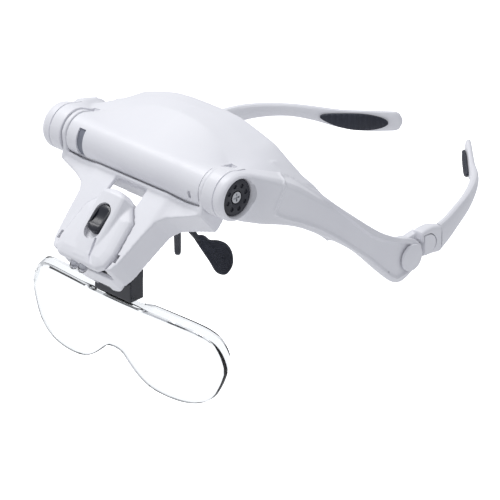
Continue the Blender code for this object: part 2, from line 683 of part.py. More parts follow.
def make_lamp():
    whole = mirrored(LAMP_OUTLINE)
    cover = prism("lamp_cover", whole, sloped, -1.6, 1.3, WHITE, "lamp")
    rings = []
    for s, half in (
        (LAMP_TOP + 0.2, 3.2), (LAMP_TOP + 3.0, TONGUE_HALF), (44.0, TONGUE_HALF),
        (49.0, TONGUE_HALF - 1.0), (LAMP_END - 0.2, TONGUE_HALF + 2.0)
    ):
        high = tongue_height(s)
        rings.append(
            [
                sloped(half + 2.6, s, 0.4), sloped(half, s, high), sloped(-half, s, high),
                sloped(-half - 2.6, s, 0.4)
            ]
        )
    join(cover, loft("tongue", rings))
    within = mirrored(inset_half(LAMP_OUTLINE, 1.5))
    cut(cover, prism("hollow", within, sloped, -6.0, 0.0))
    slot = [(x, s + 35.5) for x, s in slot_outline(17.6, 4.6)]
    cut(cover, prism("slot", slot, sloped, 1.2, 14.0))
    small = mirrored(inset_half(LAMP_OUTLINE[:5] + ((LAMP_HALF - 0.4, 50.0),), 0.3))
    base = prism("lamp_base", small, sloped, -LAMP_DEPTH, -1.6 - GAP, WHITE, "lamp")
    pocket = mirrored(inset_half(LAMP_OUTLINE[:5] + ((LAMP_HALF - 0.4, 50.0),), 2.0))
    cut(base, prism("pocket", pocket, sloped, -LAMP_DEPTH + 1.4, 3.0))
    board = mirrored([(8.0, LAMP_TOP + 8.0), (LAMP_HALF - 5.4, LAMP_TOP + 13.0), (LAMP_HALF - 5.0, 46.5)])
    prism("circuit_board", board, sloped, -LAMP_DEPTH + 1.8, -LAMP_DEPTH + 3.0, BOARD, "lamp")
    s, n = LAMP_AXIS
    for side in (1, -1):
        pin_x = (side * (LAMP_HALF - 2.4), side * (LAMP_OUTLINE[4][0] + 1.4))
        _, y, z = sloped(0, s, -3.4)
        x = side * LED_SPACING / 2
        join(
            base,
            prism(
                "pin", [(pin_x[0], s - 1.1), (pin_x[1], s - 1.1), (pin_x[1], s + 1.1), (pin_x[0], s + 1.1)],
                sloped, n - 1.1, n + 1.1
            )
        )
        profile = (
            (50.5, LED_RADIUS), (56.6, LED_RADIUS), (57.8, LED_RADIUS * 0.75), (58.4, LED_RADIUS * 0.3)
        )
        rings = [[sloped(x + r * math.cos(a), at, -1.9 + r * math.sin(a)) for a in (2 * math.pi * i / 14 for i in range(14))]
                 for at, r in profile]
        name = "led_left" if side > 0 else "led_right"
        for piece in (cover, base):
            way = [[sloped(x + (LED_RADIUS + 0.3) * math.cos(a), at, -1.9 + (LED_RADIUS + 0.3) * math.sin(a))
                    for a in (2 * math.pi * i / 14 for i in range(14))] for at in (47.5, 62.0)]
            cut(piece, loft("led_way", way))
        loft(name, rings, CLEAR, "lamp")
    button = [(x, s + 33.9) for x, s in slot_outline(13.6, 4.2)]
    top = tongue_height(33.9) + 0.4
    switch = prism("slide_switch", button, sloped, 1.2 + GAP, top, BLACK, "switch")
    thumb = [(x * 0.62, s + 33.2) for x, s in slot_outline(9.0, 3.6)]
    cut(switch, prism("thumb", thumb, sloped, top - 0.9, top + 4))


# ---------------------------------------------------------------- lens clip and lens
CLIP_GAP = 1.6  # room for the clip to tilt under the toe
STEM_HALF = 4.5
STEM_DEPTH = 4.4
TAB_HALF = 8.5
TAB_THICK = 2.6
TAB_TALL = 6.5
LENS_HANG = 0.6  # between clip and lens
# Lens edge across X: top Z, bottom Z.
LENS_EDGE = (
    (0.0, 3.4, 14.2),
    (5.0, 3.4, 13.2),
    (9.5, 3.4, 9.4),
    (14.5, 3.3, 5.4),
    (20.5, 3.2, 2.2),
    (28.0, 3.0, 0.6),
    (38.0, 2.4, 0.2),
    (46.0, 1.6, 1.4),
    (52.0, 0.4, 4.0),
    (56.5, -1.8, 8.0),
    (59.5, -5.4, 13.2),
    (LENS_HALF + 1.4, -9.4, 17.6),
    (LENS_HALF + 2.2, -12.2, 20.2),
)


def pin_place():
    return sloped(0, *CLIP_AXIS)[1:]


def make_clip():
    axis_y, axis_z = pin_place()
    front = LENS_MIDDLE_Y - 0.1
    back = front + CLIP_DEPTH + 0.4
    floor = LENS_TOP + 4.2
    side = [(front, floor), (back, floor + 0.3), (back + 0.3, floor + 14.0), (front, floor + 11.5)]
    to_world = lambda u, v, w: (w, u, v)
    clip = prism("lens_clip", side, to_world, -CLIP_HALF, CLIP_HALF, BLACK, "clip")
    grown = TOE_RADIUS + CLIP_GAP
    drop = TOE_DEPTH + CLIP_GAP
    rings = [
        toe_ring(YOKE_TOE - 24, grown, YOKE_DEPTH), toe_ring(YOKE_TOE - 10, grown, drop),
        toe_ring(YOKE_TOE + 6, grown, drop)
    ]
    cut(clip, loft("toe_room", rings))
    stem = [(axis_y - STEM_DEPTH / 2, axis_z + 2.2), (axis_y + STEM_DEPTH / 2, axis_z + 2.2)]
    stem += [(axis_y + STEM_DEPTH / 2 + 3.4, floor + 4.0), (axis_y + 1.2, floor + 4.0)]
    join(clip, prism("stem", stem, to_world, -STEM_HALF, STEM_HALF))
    cut(clip, turned_x("bore", [(-STEM_HALF - 1, 1.35), (STEM_HALF + 1, 1.35)], axis_y, axis_z, 16))
    seat_y = LENS_MIDDLE_Y + 2.1
    low = (-TAB_HALF - GAP, seat_y - GAP, floor - 2)
    cut(
        clip,
        block(
            "seat", low,
            (TAB_HALF + GAP, seat_y + TAB_THICK + GAP, floor + TAB_TALL - LENS_HANG + GAP - 1.0)
        )
    )
    turned_x("clip_pin", [(-13.2, 1.15), (13.2, 1.15)], axis_y, axis_z, 14, STEEL, "lens_arm")
    yoke = bpy.data.objects["yoke_frame"]
    cut(yoke, turned_x("pin_bore", [(-30, 1.4), (30, 1.4)], axis_y, axis_z, 16))
    # The way of the stem through the toe's floor.
    way = [
        (axis_y - 4.6, axis_z), (axis_y + 4.4, axis_z), (axis_y + 7.6, axis_z - 13.0),
        (axis_y - 2.8, axis_z - 13.0)
    ]
    cut(yoke, prism("stem_way", way, to_world, -STEM_HALF - RUNNING, STEM_HALF + RUNNING))


def lens_y(x):
    """Y of the lens's front face, which curves round the eyes."""
    return LENS_MIDDLE_Y + (LENS_END_Y - LENS_MIDDLE_Y) * (x / LENS_HALF) ** 2


def lens_section(x):
    high, low = along(LENS_EDGE, abs(x))
    top, bottom = LENS_TOP + high, LENS_BOTTOM + low + 1.0
    y = lens_y(x)
    lift = 1.6 * min(1.0, max(0.0, (abs(x) - CLIP_HALF - 1.0) / 8.0))
    deep = min(LENS_FLANGE, LENS_THICK + (top - bottom) * 0.3)
    section = [
        (y, top), (y, bottom), (y + LENS_THICK, bottom), (y + LENS_THICK, max(top - 2.2, bottom + 0.2))
    ]
    section += [(y + deep, max(top - 2.2, bottom + 0.4) + lift * 0.8), (y + deep, top + lift)]
    return [(x, u, v) for u, v in section]


def make_lens():
    stations = [row[0] for row in LENS_EDGE]
    stations += [mix(a, b, 0.5) for a, b in zip(stations, stations[1:])]
    stations = sorted({side * x for x in stations for side in (1, -1)})
    lens = loft("lens", [lens_section(x) for x in stations], CLEAR, "lens")
    seat_y = LENS_MIDDLE_Y + 2.1
    floor = LENS_TOP + 4.2
    tab = block(
        "tab", (-TAB_HALF, seat_y, LENS_TOP - 3.0),
        (TAB_HALF, seat_y + TAB_THICK, floor + TAB_TALL - LENS_HANG - 1.0)
    )
    join(lens, tab)


# ---------------------------------------------------------------- temples
TEMPLE_WAY = (
    (78.6, 104.6), (77.6, 114.0), (72.6, 129.0), (64.6, 143.0), (54.4, 156.0), (43.0, 167.0), (32.0, 178.0),
    (21.0, 189.0)
)
TEMPLE_MIDDLE_Z = -46.2
END_CLEAR = 0.8
BUTTON_AT = (98.2, -47.0)
BUTTON_SIZE = (7.4, 9.6)
PAD_SPAN = (0.70, 0.985)


def smooth_way(points, count):
    """Evenly stepped points on a smooth curve through the given ones, with the direction at each."""
    ends = [
        Vector(points[0]) * 2 - Vector(points[1]), *map(Vector, points),
        Vector(points[-1]) * 2 - Vector(points[-2])
    ]
    made = []
    for i in range(count + 1):
        t = i / count * (len(points) - 1)
        k = min(int(t), len(points) - 2)
        u = t - k
        a, b, c, d = ends[k : k + 4]
        at = 0.5 * (
            (2 * b) + (c - a) * u + (2 * a - 5 * b + 4 * c - d) * u**2 + (3 * b - a - 3 * c + d) * u**3
        )
        way = 0.5 * ((c - a) + 2 * (2 * a - 5 * b + 4 * c - d) * u + 3 * (3 * b - a - 3 * c + d) * u**2)
        made.append((at, way.normalized()))
    return made


def rounded(half_u, half_v, soft):
    """A rounded rectangle of 12 points."""
    ring = []
    for turn, (su, sv) in enumerate(((1, 1), (-1, 1), (-1, -1), (1, -1))):
        ring += arc(su * (half_u - soft), sv * (half_v - soft), soft, 90 * turn, 90 * turn + 90, 2)
    return ring


def temple_ring(side, at, way, height, thick, soft, out=0.0):
    normal = Vector((way.y, -way.x))
    ring = []
    for u, v in rounded(thick / 2, height / 2, soft):
        p = at + normal * (u + out)
        ring.append((side * p.x, p.y, TEMPLE_MIDDLE_Z + v))
    return ring


def temple_size(share):
    height = mix(TEMPLE_HEIGHT + 1.2, TEMPLE_TIP_HEIGHT, min(1.0, share * 1.15) ** 0.9)
    return height, mix(TEMPLE_THICK + 0.6, TEMPLE_THICK - 1.2, share)


def make_temple(side, name):
    body = f"temple_{name}"
    way = smooth_way(TEMPLE_WAY, 26)
    rings = []
    for i, (at, ahead) in enumerate(way):
        share = i / (len(way) - 1)
        height, thick = temple_size(share)
        end = 0.55 if share == 1 else 1.0
        rings.append(temple_ring(side, at, ahead, height * end, thick * end, thick * 0.42 * end))
    loft(f"temple_arm_{name}", rings, WHITE, body)
    rings = []
    start, stop = (int(round(share * 26)) for share in PAD_SPAN)
    for i in range(start, stop + 1):
        at, ahead = way[i]
        height, thick = temple_size(i / 26)
        u = (i - start) / (stop - start)
        swell = math.sqrt(max(1 - (2 * u - 1) ** 2, 0.10))
        rings.append(temple_ring(side, at, ahead, height * 0.8 * swell, 1.2, 0.5, -thick / 2 - GAP - 0.6))
    loft(f"temple_pad_{name}", rings, SOFT, body)

    face = arm_face(CAP_Y)
    inner = face - ARM_END_THICK - RUNNING
    ear = arc(CAP_Y, CAP_Z, 7.4, 60, 300, 14) + [(96.0, CAP_Z - 5.6), (96.0, CAP_Z + 7.6)]
    link = prism(
        f"temple_link_{name}", ear, lambda u, v, w: (w, u, v), side * (inner - 4.0), side * inner, WHITE,
        body
    )
    at, ahead = way[0]
    height, thick = temple_size(0.0)
    start = temple_ring(side, at - ahead * GAP, ahead, height, thick, thick * 0.42)
    rings = []
    for y, deep, grow in ((93.4, 8.2, 1.2), (97.0, 8.0, 1.0), (101.0, 7.0, 0.4)):
        middle = Vector((face - 0.4 - deep / 2, y))
        rings.append(temple_ring(side, middle, Vector((0, 1)), height + grow, deep, 1.6))
    block_part = loft("root", [*rings, start])
    join(link, block_part)
    clear = ARM_END_RADIUS + END_CLEAR + 0.3
    cut(link, turned_x("arm_room", [(side * inner, clear), (side * (face + 4), clear)], CAP_Y, CAP_Z, 32))
    cut(link, turned_x("pivot_way", [(side * (inner - 9), 2.9), (side * (inner + 2), 2.9)], CAP_Y, CAP_Z, 20))
    # D-shaped release button, on a spring in its pocket.
    by, bz = BUTTON_AT
    wide, tall = BUTTON_SIZE
    outer = face - 0.4
    def button_outline(grow):
        flat = [(by - wide / 2 - grow, bz - tall / 2 - grow), (by - wide / 2 - grow, bz + tall / 2 + grow)]
        return flat + arc(by + wide / 2 - tall / 2, bz, tall / 2 + grow, 90, -90, 10)
    to_world = lambda u, v, w: (w, u, v)
    cut(link, prism("pocket", button_outline(GAP + 0.1), to_world, side * (outer - 5.4), side * (outer + 6)))
    prism(
        f"release_button_{name}", button_outline(0.0), to_world, side * (outer - 2.8), side * (outer + 0.5),
        WHITE, f"button_{name}"
    )
    coil(f"button_spring_{name}", (side * (outer - 5.1), by - 0.4, bz), 2.0, 0.25, side * 2.0, 2, body)

    profile = [
        (inner - 5.2, 4.2), (inner - 4.0 - GAP, 4.2), (inner - 4.0 - GAP, 2.5), (face + GAP, 2.5),
        (face + GAP, CAP_RADIUS)
    ]
    profile += [(face + CAP_THICK - 0.5, CAP_RADIUS), (face + CAP_THICK, CAP_RADIUS - 0.6)]
    turned_x(f"pivot_cap_{name}", [(side * x, r) for x, r in profile], CAP_Y, CAP_Z, 28, WHITE, "visor")


make_front_shell()
make_forehead_side()
make_battery()
make_nose_rest()
make_yoke()
make_hinge()
make_lamp()
make_clip()
make_lens()
for side, name in ((1, "left"), (-1, "right")):
    make_temple(side, name)

# ---------------------------------------------------------------- seat the model
points = [
    piece.matrix_world @ vertex.co
    for group in BODIES.values() for piece in group for vertex in piece.data.vertices
]
lowest, highest = (Vector([pick(p[i] for p in points) for i in range(3)]) for pick in (min, max))
seat = Vector((-(lowest.x + highest.x) / 2, -(lowest.y + highest.y) / 2, -lowest.z))
clip_y, clip_z = pin_place()
_, lamp_y, lamp_z = sloped(0, *LAMP_AXIS)
_, switch_y, switch_z = sloped(0, SWITCH_MIDDLE, 3.0)
AXES = {
    "visor": (0, 0, 0),
    "lens_arm": (0, 0, 0),
    "lamp": (0, lamp_y, lamp_z),
    "switch": (0, switch_y, switch_z),
    "clip": (0, clip_y, clip_z),
    "lens": (0, LENS_MIDDLE_Y, LENS_TOP),
}
for side, name in ((1, "left"), (-1, "right")):
    AXES[f"temple_{name}"] = (side * arm_face(CAP_Y), CAP_Y, CAP_Z)
    AXES[f"button_{name}"] = (side * arm_face(CAP_Y), *BUTTON_AT)
for body, group in BODIES.items():
    holder = bpy.data.objects.new(f"{body}_axis", None)
    holder.location = Vector(AXES[body]) * MM + seat
    bpy.context.scene.collection.objects.link(holder)
    for piece in group:
        piece.data.transform(Matrix.Translation(-Vector(AXES[body]) * MM))
        piece.parent = holder
    print(f"{body}: axis at {[round(value, 5) for value in holder.location]}, {len(group)} pieces")
print("seat", [round(value, 5) for value in seat], "size", [round(value, 4) for value in highest - lowest])
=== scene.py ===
# %% [markdown]
# # A head visor magnifier
#
# The visor is a white moulded housing worn on the forehead, with a lens arm that flips up on a front hinge,
# a small tilting lamp, a wide clip-on lens, a nose rest and two temples. This lesson builds what is seen of
# it around the imported model, which stays in place for the motion and the collision.
#
# The first step loads the imported model.

# %% Load the imported model
import json
import math

import bmesh
import bpy
from mathutils import Matrix, Vector


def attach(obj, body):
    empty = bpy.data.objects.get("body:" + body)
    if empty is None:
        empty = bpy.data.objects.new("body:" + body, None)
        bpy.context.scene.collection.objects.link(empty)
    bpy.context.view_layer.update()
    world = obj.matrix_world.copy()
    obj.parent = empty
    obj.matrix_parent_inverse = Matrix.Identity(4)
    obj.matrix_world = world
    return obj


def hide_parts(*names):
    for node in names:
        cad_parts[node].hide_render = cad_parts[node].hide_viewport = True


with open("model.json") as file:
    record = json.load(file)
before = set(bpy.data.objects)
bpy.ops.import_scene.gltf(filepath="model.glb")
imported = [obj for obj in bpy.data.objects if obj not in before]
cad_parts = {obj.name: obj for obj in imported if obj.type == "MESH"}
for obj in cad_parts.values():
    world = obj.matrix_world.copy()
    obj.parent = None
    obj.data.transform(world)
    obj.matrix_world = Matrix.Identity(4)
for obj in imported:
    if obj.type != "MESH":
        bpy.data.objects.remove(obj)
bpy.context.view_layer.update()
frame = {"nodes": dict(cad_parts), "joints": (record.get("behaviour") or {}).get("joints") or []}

# %% [markdown]
# All sizes below are millimetres, measured from the middle of the front hinge: X to the wearer's left, Y to
# the back of the head and Z up. The hinge's place comes from the record's joint, so the lesson holds no
# place of its own for it. The lens arm slopes forward and down, so its pieces use a second frame: `s` runs
# down the slope from the hinge, and `n` stands out of the arm's front face.

# %% Measures and frames
MM = 0.001
WELD = 1e-6
HINGE = Vector(next(joint["pos_m"] for joint in frame["joints"] if joint["name"] == "lens_arm_tilt"))
SLOPE = math.radians(40.0)
TUBE_RADIUS = 9.7
TUBE_HALF = 41.8
PLATE_INNER, PLATE_OUTER = 42.2, 44.8
HUB_INNER, HUB_FACE, HUB_RADIUS = 45.2, 57.5, 10.9
CAP_Y, CAP_Z = 85.0, -49.0


def place(x, y, z):
    """A point in metres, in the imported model's frame."""
    return HINGE + Vector((x, y, z)) * MM


def sloped(x, s, n):
    """The hinge-frame point at x, s down the lens arm's slope and n out of its front face."""
    return x, -math.cos(SLOPE) * s - math.sin(SLOPE) * n, -math.sin(SLOPE) * s + math.cos(SLOPE) * n


def arc(cx, cy, radius, start, end, steps):
    angles = [math.radians(start + (end - start) * i / steps) for i in range(steps + 1)]
    return [(cx + radius * math.cos(a), cy + radius * math.sin(a)) for a in angles]


def round_trip(steps):
    """The sine and cosine of evenly spaced angles once round a circle."""
    return [(math.cos(math.tau * i / steps), math.sin(math.tau * i / steps)) for i in range(steps)]


def eased(a, b, value):
    """0 below a, 1 above b, and a smooth step between them."""
    t = min(max((value - a) / (b - a), 0.0), 1.0)
    return t * t * (3 - 2 * t)


def between(table, at):
    """A row of a table at a value of its first column, on a smooth curve through the rows."""
    rows = [table[0], *table, table[-1]]
    k = max(i for i in range(1, len(rows) - 2) if i == 1 or rows[i][0] <= at)
    a, b, c, d = rows[k - 1 : k + 3]
    t = min(max((at - b[0]) / (c[0] - b[0]), 0.0), 1.0)
    width = c[0] - b[0]
    made = []
    for p, q, r, s in zip(a[1:], b[1:], c[1:], d[1:]):
        into = (r - p) / max(c[0] - a[0], 1e-6) * width
        out = (s - q) / max(d[0] - b[0], 1e-6) * width
        start = (2 * t**3 - 3 * t**2 + 1) * q + (t**3 - 2 * t**2 + t) * into
        made.append(start + (3 * t**2 - 2 * t**3) * r + (t**3 - t**2) * out)
    return made


print("hinge at", [round(value, 4) for value in HINGE])

# %% [markdown]
# Three tools shape almost every piece. A **loft** starts from one ring of vertices and extrudes its edges
# from section to section, as a mould's surface runs between its drawn sections. A **slab** is a loft with
# two equal ends, for plates and pockets. A **turning** spins a profile about an axis, as a lathe would.

# %% Loft, slab and turning
def new_ring(bm, points):
    verts = [bm.verts.new(place(*point)) for point in points]
    return verts, [bm.edges.new((verts[i], verts[(i + 1) % len(verts)])) for i in range(len(verts))]


def loft(rings):
    """Extrudes the first ring through all the others and closes both ends."""
    bm = bmesh.new()
    verts, edges = new_ring(bm, rings[0])
    first = list(edges)
    for ring in rings[1:]:
        made = bmesh.ops.extrude_edge_only(bm, edges=edges)["geom"]
        fresh = {item for item in made if isinstance(item, bmesh.types.BMVert)}
        across = [[edge.other_vert(vert) for edge in vert.link_edges] for vert in verts]
        verts = [next(vert for vert in ends if vert in fresh) for ends in across]
        for vert, point in zip(verts, ring):
            vert.co = place(*point)
        edges = [bm.edges.get((verts[i], verts[(i + 1) % len(verts)])) for i in range(len(verts))]
    for rim in (first, edges):
        bmesh.ops.contextual_create(bm, geom=rim)
    return bm


def slab(outline, to_frame, low, high):
    """An outline of (u, v) points, filled and extruded from low to high along its frame's third direction."""
    return loft([[to_frame(u, v, w) for u, v in outline] for w in (low, high)])


def turned(profile, centre=(0.0, 0.0), steps=64):
    """A profile of (x, radius) points, spun about a line along X at the centre's y and z."""
    bm = bmesh.new()
    y, z = centre
    verts = [bm.verts.new(place(x, y, z + radius)) for x, radius in profile]
    edges = [bm.edges.new(pair) for pair in zip(verts, verts[1:])]
    bmesh.ops.spin(
        bm, geom=verts + edges, cent=place(0, y, z), axis=(1, 0, 0), angle=math.tau, steps=steps,
        use_merge=True)
    bmesh.ops.remove_doubles(bm, verts=bm.verts, dist=WELD)
    return bm


def x_last(u, v, w):
    """Takes an outline drawn in Y and Z and a depth along X."""
    return w, u, v


def z_last(u, v, w):
    """Takes an outline drawn in X and Y and a depth along Z."""
    return u, v, w


def mirrored(half):
    """A whole outline from its half with x >= 0."""
    return list(half) + [(-x, s) for x, s in reversed(half) if x > 1e-6]


print("shapes are welded within", WELD, "m")

# %% [markdown]
# A shape becomes an object when it is closed. Pockets, slots and bores are cut with exact Booleans, as a
# cutter would cut them. A moulding has no sharp joins, so overlapping volumes are melted into one skin by a
# voxel remesh and then softened.

# %% Closing, cutting and melting
def close_up(bm):
    bmesh.ops.remove_doubles(bm, verts=bm.verts, dist=WELD)
    bmesh.ops.recalc_face_normals(bm, faces=bm.faces)
    if bm.calc_volume(signed=True) < 0:
        bmesh.ops.reverse_faces(bm, faces=bm.faces)


def to_object(name, bm, flat_faces=False):
    """Closes a bmesh and makes its object, which sits at the origin with its place in its mesh."""
    close_up(bm)
    if flat_faces:
        bmesh.ops.triangulate(bm, faces=bm.faces)
    mesh = bpy.data.meshes.new(name)
    bm.to_mesh(mesh)
    bm.free()
    piece = bpy.data.objects.new(name, mesh)
    bpy.context.scene.collection.objects.link(piece)
    return piece


def applied(piece):
    """Bakes a piece's modifiers into its mesh."""
    bpy.context.view_layer.update()
    shaped = bpy.data.meshes.new_from_object(piece.evaluated_get(bpy.context.evaluated_depsgraph_get()))
    piece.modifiers.clear()
    old = piece.data
    piece.data = shaped
    bpy.data.meshes.remove(old)
    return piece


def carve(piece, *tools, operation="DIFFERENCE"):
    """Cuts tool shapes out of a piece, or joins them to it, exactly."""
    for bm in tools:
        tool = to_object("tool", bm, flat_faces=True)
        step = piece.modifiers.new("carve", "BOOLEAN")
        step.operation, step.solver, step.object = operation, "EXACT", tool
        applied(piece)
        bpy.data.objects.remove(tool, do_unlink=True)
    return piece


def moulded(name, volumes, grain, soften):
    """Melts overlapping volumes into one skin of even quads and softens its edges, as a moulding has them."""
    whole = bmesh.new()
    for bm in volumes:
        close_up(bm)
        part = bpy.data.meshes.new("part")
        bm.to_mesh(part)
        bm.free()
        whole.from_mesh(part)
        bpy.data.meshes.remove(part)
    mesh = bpy.data.meshes.new(name)
    whole.to_mesh(mesh)
    whole.free()
    piece = bpy.data.objects.new(name, mesh)
    bpy.context.scene.collection.objects.link(piece)
    melt = piece.modifiers.new("melt", "REMESH")
    melt.mode, melt.voxel_size = "VOXEL", grain * MM
    smooth = piece.modifiers.new("soften", "SMOOTH")
    smooth.factor, smooth.iterations = 0.5, soften
    return applied(piece)


print("cutting and melting ready")

# %% [markdown]
# Last, a piece is dressed. It gets its material, smooth shading with crisp edges, and a small bevel where
# an edge catches the light.

# %% Dressing a piece
def dress(piece, material, slot, body, *stands_for, sharp, bevel=0.0):
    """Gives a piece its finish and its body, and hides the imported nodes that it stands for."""
    piece.data.materials.clear()
    piece.data.materials.append(material)
    piece.data.shade_smooth()
    piece.data.set_sharp_from_angle(angle=math.radians(sharp))
    if bevel:
        edge = piece.modifiers.new("edge", "BEVEL")
        edge.width, edge.segments = bevel * MM, 3
        edge.limit_method, edge.angle_limit = "ANGLE", math.radians(sharp)
        edge.harden_normals = True
    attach(piece, body)
    if stands_for:
        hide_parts(*stands_for)
    print(f"{piece.name}: {len(piece.data.polygons)} faces, rides on {body}")
    return piece


print("dressing ready")

# %% [markdown]
# ## Finishes
#
# The real finishes are few: satin white moulding, black moulding, dark soft rubber, grey plastic,
# plated steel and clear acrylic. Each is a Principled shader. What more than one of them needs, such as the
# fine spark texture that a mould leaves, and the faint clouding of handled plastic, is a node group with
# its own inputs, so it is built once and used with other values in each material.

# %% Shared effects: mould texture and handling marks
def effect_group(name, inputs, outputs):
    group = bpy.data.node_groups.new(name, "ShaderNodeTree")
    for label, kind, value in inputs:
        socket = group.interface.new_socket(label, in_out="INPUT", socket_type=kind)
        socket.default_value = value
    for label, kind in outputs:
        group.interface.new_socket(label, in_out="OUTPUT", socket_type=kind)
    return group, group.nodes.new("NodeGroupInput"), group.nodes.new("NodeGroupOutput")


def mould_texture():
    """Height of the fine texture on moulded plastic: a spark grain with a slow waviness under it."""
    group, given, result = effect_group(
        "mould_texture",
        [("Scale", "NodeSocketFloat", 1800.0), ("Waviness", "NodeSocketFloat", 0.3)],
        [("Height", "NodeSocketFloat")])
    where = group.nodes.new("ShaderNodeTexCoord")
    spark = group.nodes.new("ShaderNodeTexNoise")
    spark.inputs["Detail"].default_value = 3.0
    slow = group.nodes.new("ShaderNodeTexNoise")
    slow.inputs["Scale"].default_value = 60.0
    weigh = group.nodes.new("ShaderNodeMath")
    weigh.operation = "MULTIPLY_ADD"
    links = group.links
    links.new(where.outputs["Object"], spark.inputs["Vector"])
    links.new(where.outputs["Object"], slow.inputs["Vector"])
    links.new(given.outputs["Scale"], spark.inputs["Scale"])
    links.new(slow.outputs["Fac"], weigh.inputs[0])
    links.new(given.outputs["Waviness"], weigh.inputs[1])
    links.new(spark.outputs["Fac"], weigh.inputs[2])
    links.new(weigh.outputs[0], result.inputs["Height"])
    return group


def handling():
    """Clouded roughness and a slight shift of colour where hands and cloths have rubbed."""
    group, given, result = effect_group(
        "handling",
        [("Clean", "NodeSocketColor", (0.8, 0.8, 0.8, 1.0)),
         ("Rubbed", "NodeSocketColor", (0.75, 0.75, 0.75, 1.0)),
         ("Smooth", "NodeSocketFloat", 0.3), ("Rough", "NodeSocketFloat", 0.4),
         ("Scale", "NodeSocketFloat", 45.0)],
        [("Color", "NodeSocketColor"), ("Roughness", "NodeSocketFloat")])
    where = group.nodes.new("ShaderNodeTexCoord")
    cloud = group.nodes.new("ShaderNodeTexNoise")
    cloud.inputs["Detail"].default_value = 5.0
    curve = group.nodes.new("ShaderNodeMapRange")
    curve.inputs["From Min"].default_value = 0.35
    curve.inputs["From Max"].default_value = 0.7
    tint = group.nodes.new("ShaderNodeMix")
    tint.data_type = "RGBA"
    sheen = group.nodes.new("ShaderNodeMapRange")
    links = group.links
    links.new(where.outputs["Object"], cloud.inputs["Vector"])
    links.new(given.outputs["Scale"], cloud.inputs["Scale"])
    links.new(cloud.outputs["Fac"], curve.inputs["Value"])
    links.new(curve.outputs["Result"], tint.inputs["Factor"])
    links.new(given.outputs["Clean"], tint.inputs["A"])
    links.new(given.outputs["Rubbed"], tint.inputs["B"])
    links.new(curve.outputs["Result"], sheen.inputs["Value"])
    links.new(given.outputs["Smooth"], sheen.inputs["To Min"])
    links.new(given.outputs["Rough"], sheen.inputs["To Max"])
    links.new(tint.outputs["Result"], result.inputs["Color"])
    links.new(sheen.outputs["Result"], result.inputs["Roughness"])
    return group


MOULD_TEXTURE = mould_texture()
HANDLING = handling()
print("groups:", MOULD_TEXTURE.name, HANDLING.name)

# %% [markdown]
# A moulded finish joins the two groups: colour and roughness from the handling group, and a bump from the
# mould texture. The bump's distance is in metres, so a hundredth of a millimetre is 0.00001.

# %% Moulded finishes
def moulded_finish(name, clean, rubbed, smooth, rough, coat, bump, scale=1800.0):
    material = bpy.data.materials.new(name)
    material.use_nodes = True
    nodes, links = material.node_tree.nodes, material.node_tree.links
    shader = nodes["Principled BSDF"]
    marks = nodes.new("ShaderNodeGroup")
    marks.node_tree = HANDLING
    marks.inputs["Clean"].default_value = (*clean, 1.0)
    marks.inputs["Rubbed"].default_value = (*rubbed, 1.0)
    marks.inputs["Smooth"].default_value = smooth
    marks.inputs["Rough"].default_value = rough
    texture = nodes.new("ShaderNodeGroup")
    texture.node_tree = MOULD_TEXTURE
    texture.inputs["Scale"].default_value = scale
    relief = nodes.new("ShaderNodeBump")
    relief.inputs["Strength"].default_value = bump
    relief.inputs["Distance"].default_value = 0.00005
    links.new(marks.outputs["Color"], shader.inputs["Base Color"])
    links.new(marks.outputs["Roughness"], shader.inputs["Roughness"])
    links.new(texture.outputs["Height"], relief.inputs["Height"])
    links.new(relief.outputs["Normal"], shader.inputs["Normal"])
    shader.inputs["Coat Weight"].default_value = coat
    shader.inputs["Coat Roughness"].default_value = 0.12
    return material


WHITE = moulded_finish("moulded_white", (0.835, 0.835, 0.87), (0.81, 0.81, 0.85), 0.42, 0.50, 0.08, 0.12)
BLACK = moulded_finish("moulded_black", (0.010, 0.012, 0.020), (0.016, 0.018, 0.028), 0.26, 0.38, 0.12, 0.10)
KNOB_BLACK = moulded_finish(
    "knob_black", (0.010, 0.011, 0.018), (0.017, 0.019, 0.030), 0.34, 0.48, 0.1, 0.35, 900.0
)
RUBBER = moulded_finish(
    "soft_rubber", (0.014, 0.017, 0.030), (0.022, 0.026, 0.042), 0.50, 0.66, 0.0, 0.4, 900.0
)
GREY = moulded_finish("moulded_grey", (0.22, 0.235, 0.28), (0.19, 0.20, 0.245), 0.45, 0.55, 0.0, 0.2)
print("moulded finishes ready")

# %% [markdown]
# Plated screws are metal with fine turning marks. The acrylic is clear with a trace of blue-grey in its
# thickness, which is what makes its rim darker than its face.

# %% Steel and clear finishes
def steel_finish():
    material = bpy.data.materials.new("plated_steel")
    material.use_nodes = True
    nodes, links = material.node_tree.nodes, material.node_tree.links
    shader = nodes["Principled BSDF"]
    shader.inputs["Base Color"].default_value = (0.55, 0.56, 0.58, 1.0)
    shader.inputs["Metallic"].default_value = 1.0
    where = nodes.new("ShaderNodeTexCoord")
    turning = nodes.new("ShaderNodeTexNoise")
    turning.inputs["Scale"].default_value = 900.0
    spread = nodes.new("ShaderNodeMapRange")
    spread.inputs["To Min"].default_value = 0.22
    spread.inputs["To Max"].default_value = 0.42
    links.new(where.outputs["Object"], turning.inputs["Vector"])
    links.new(turning.outputs["Fac"], spread.inputs["Value"])
    links.new(spread.outputs["Result"], shader.inputs["Roughness"])
    return material


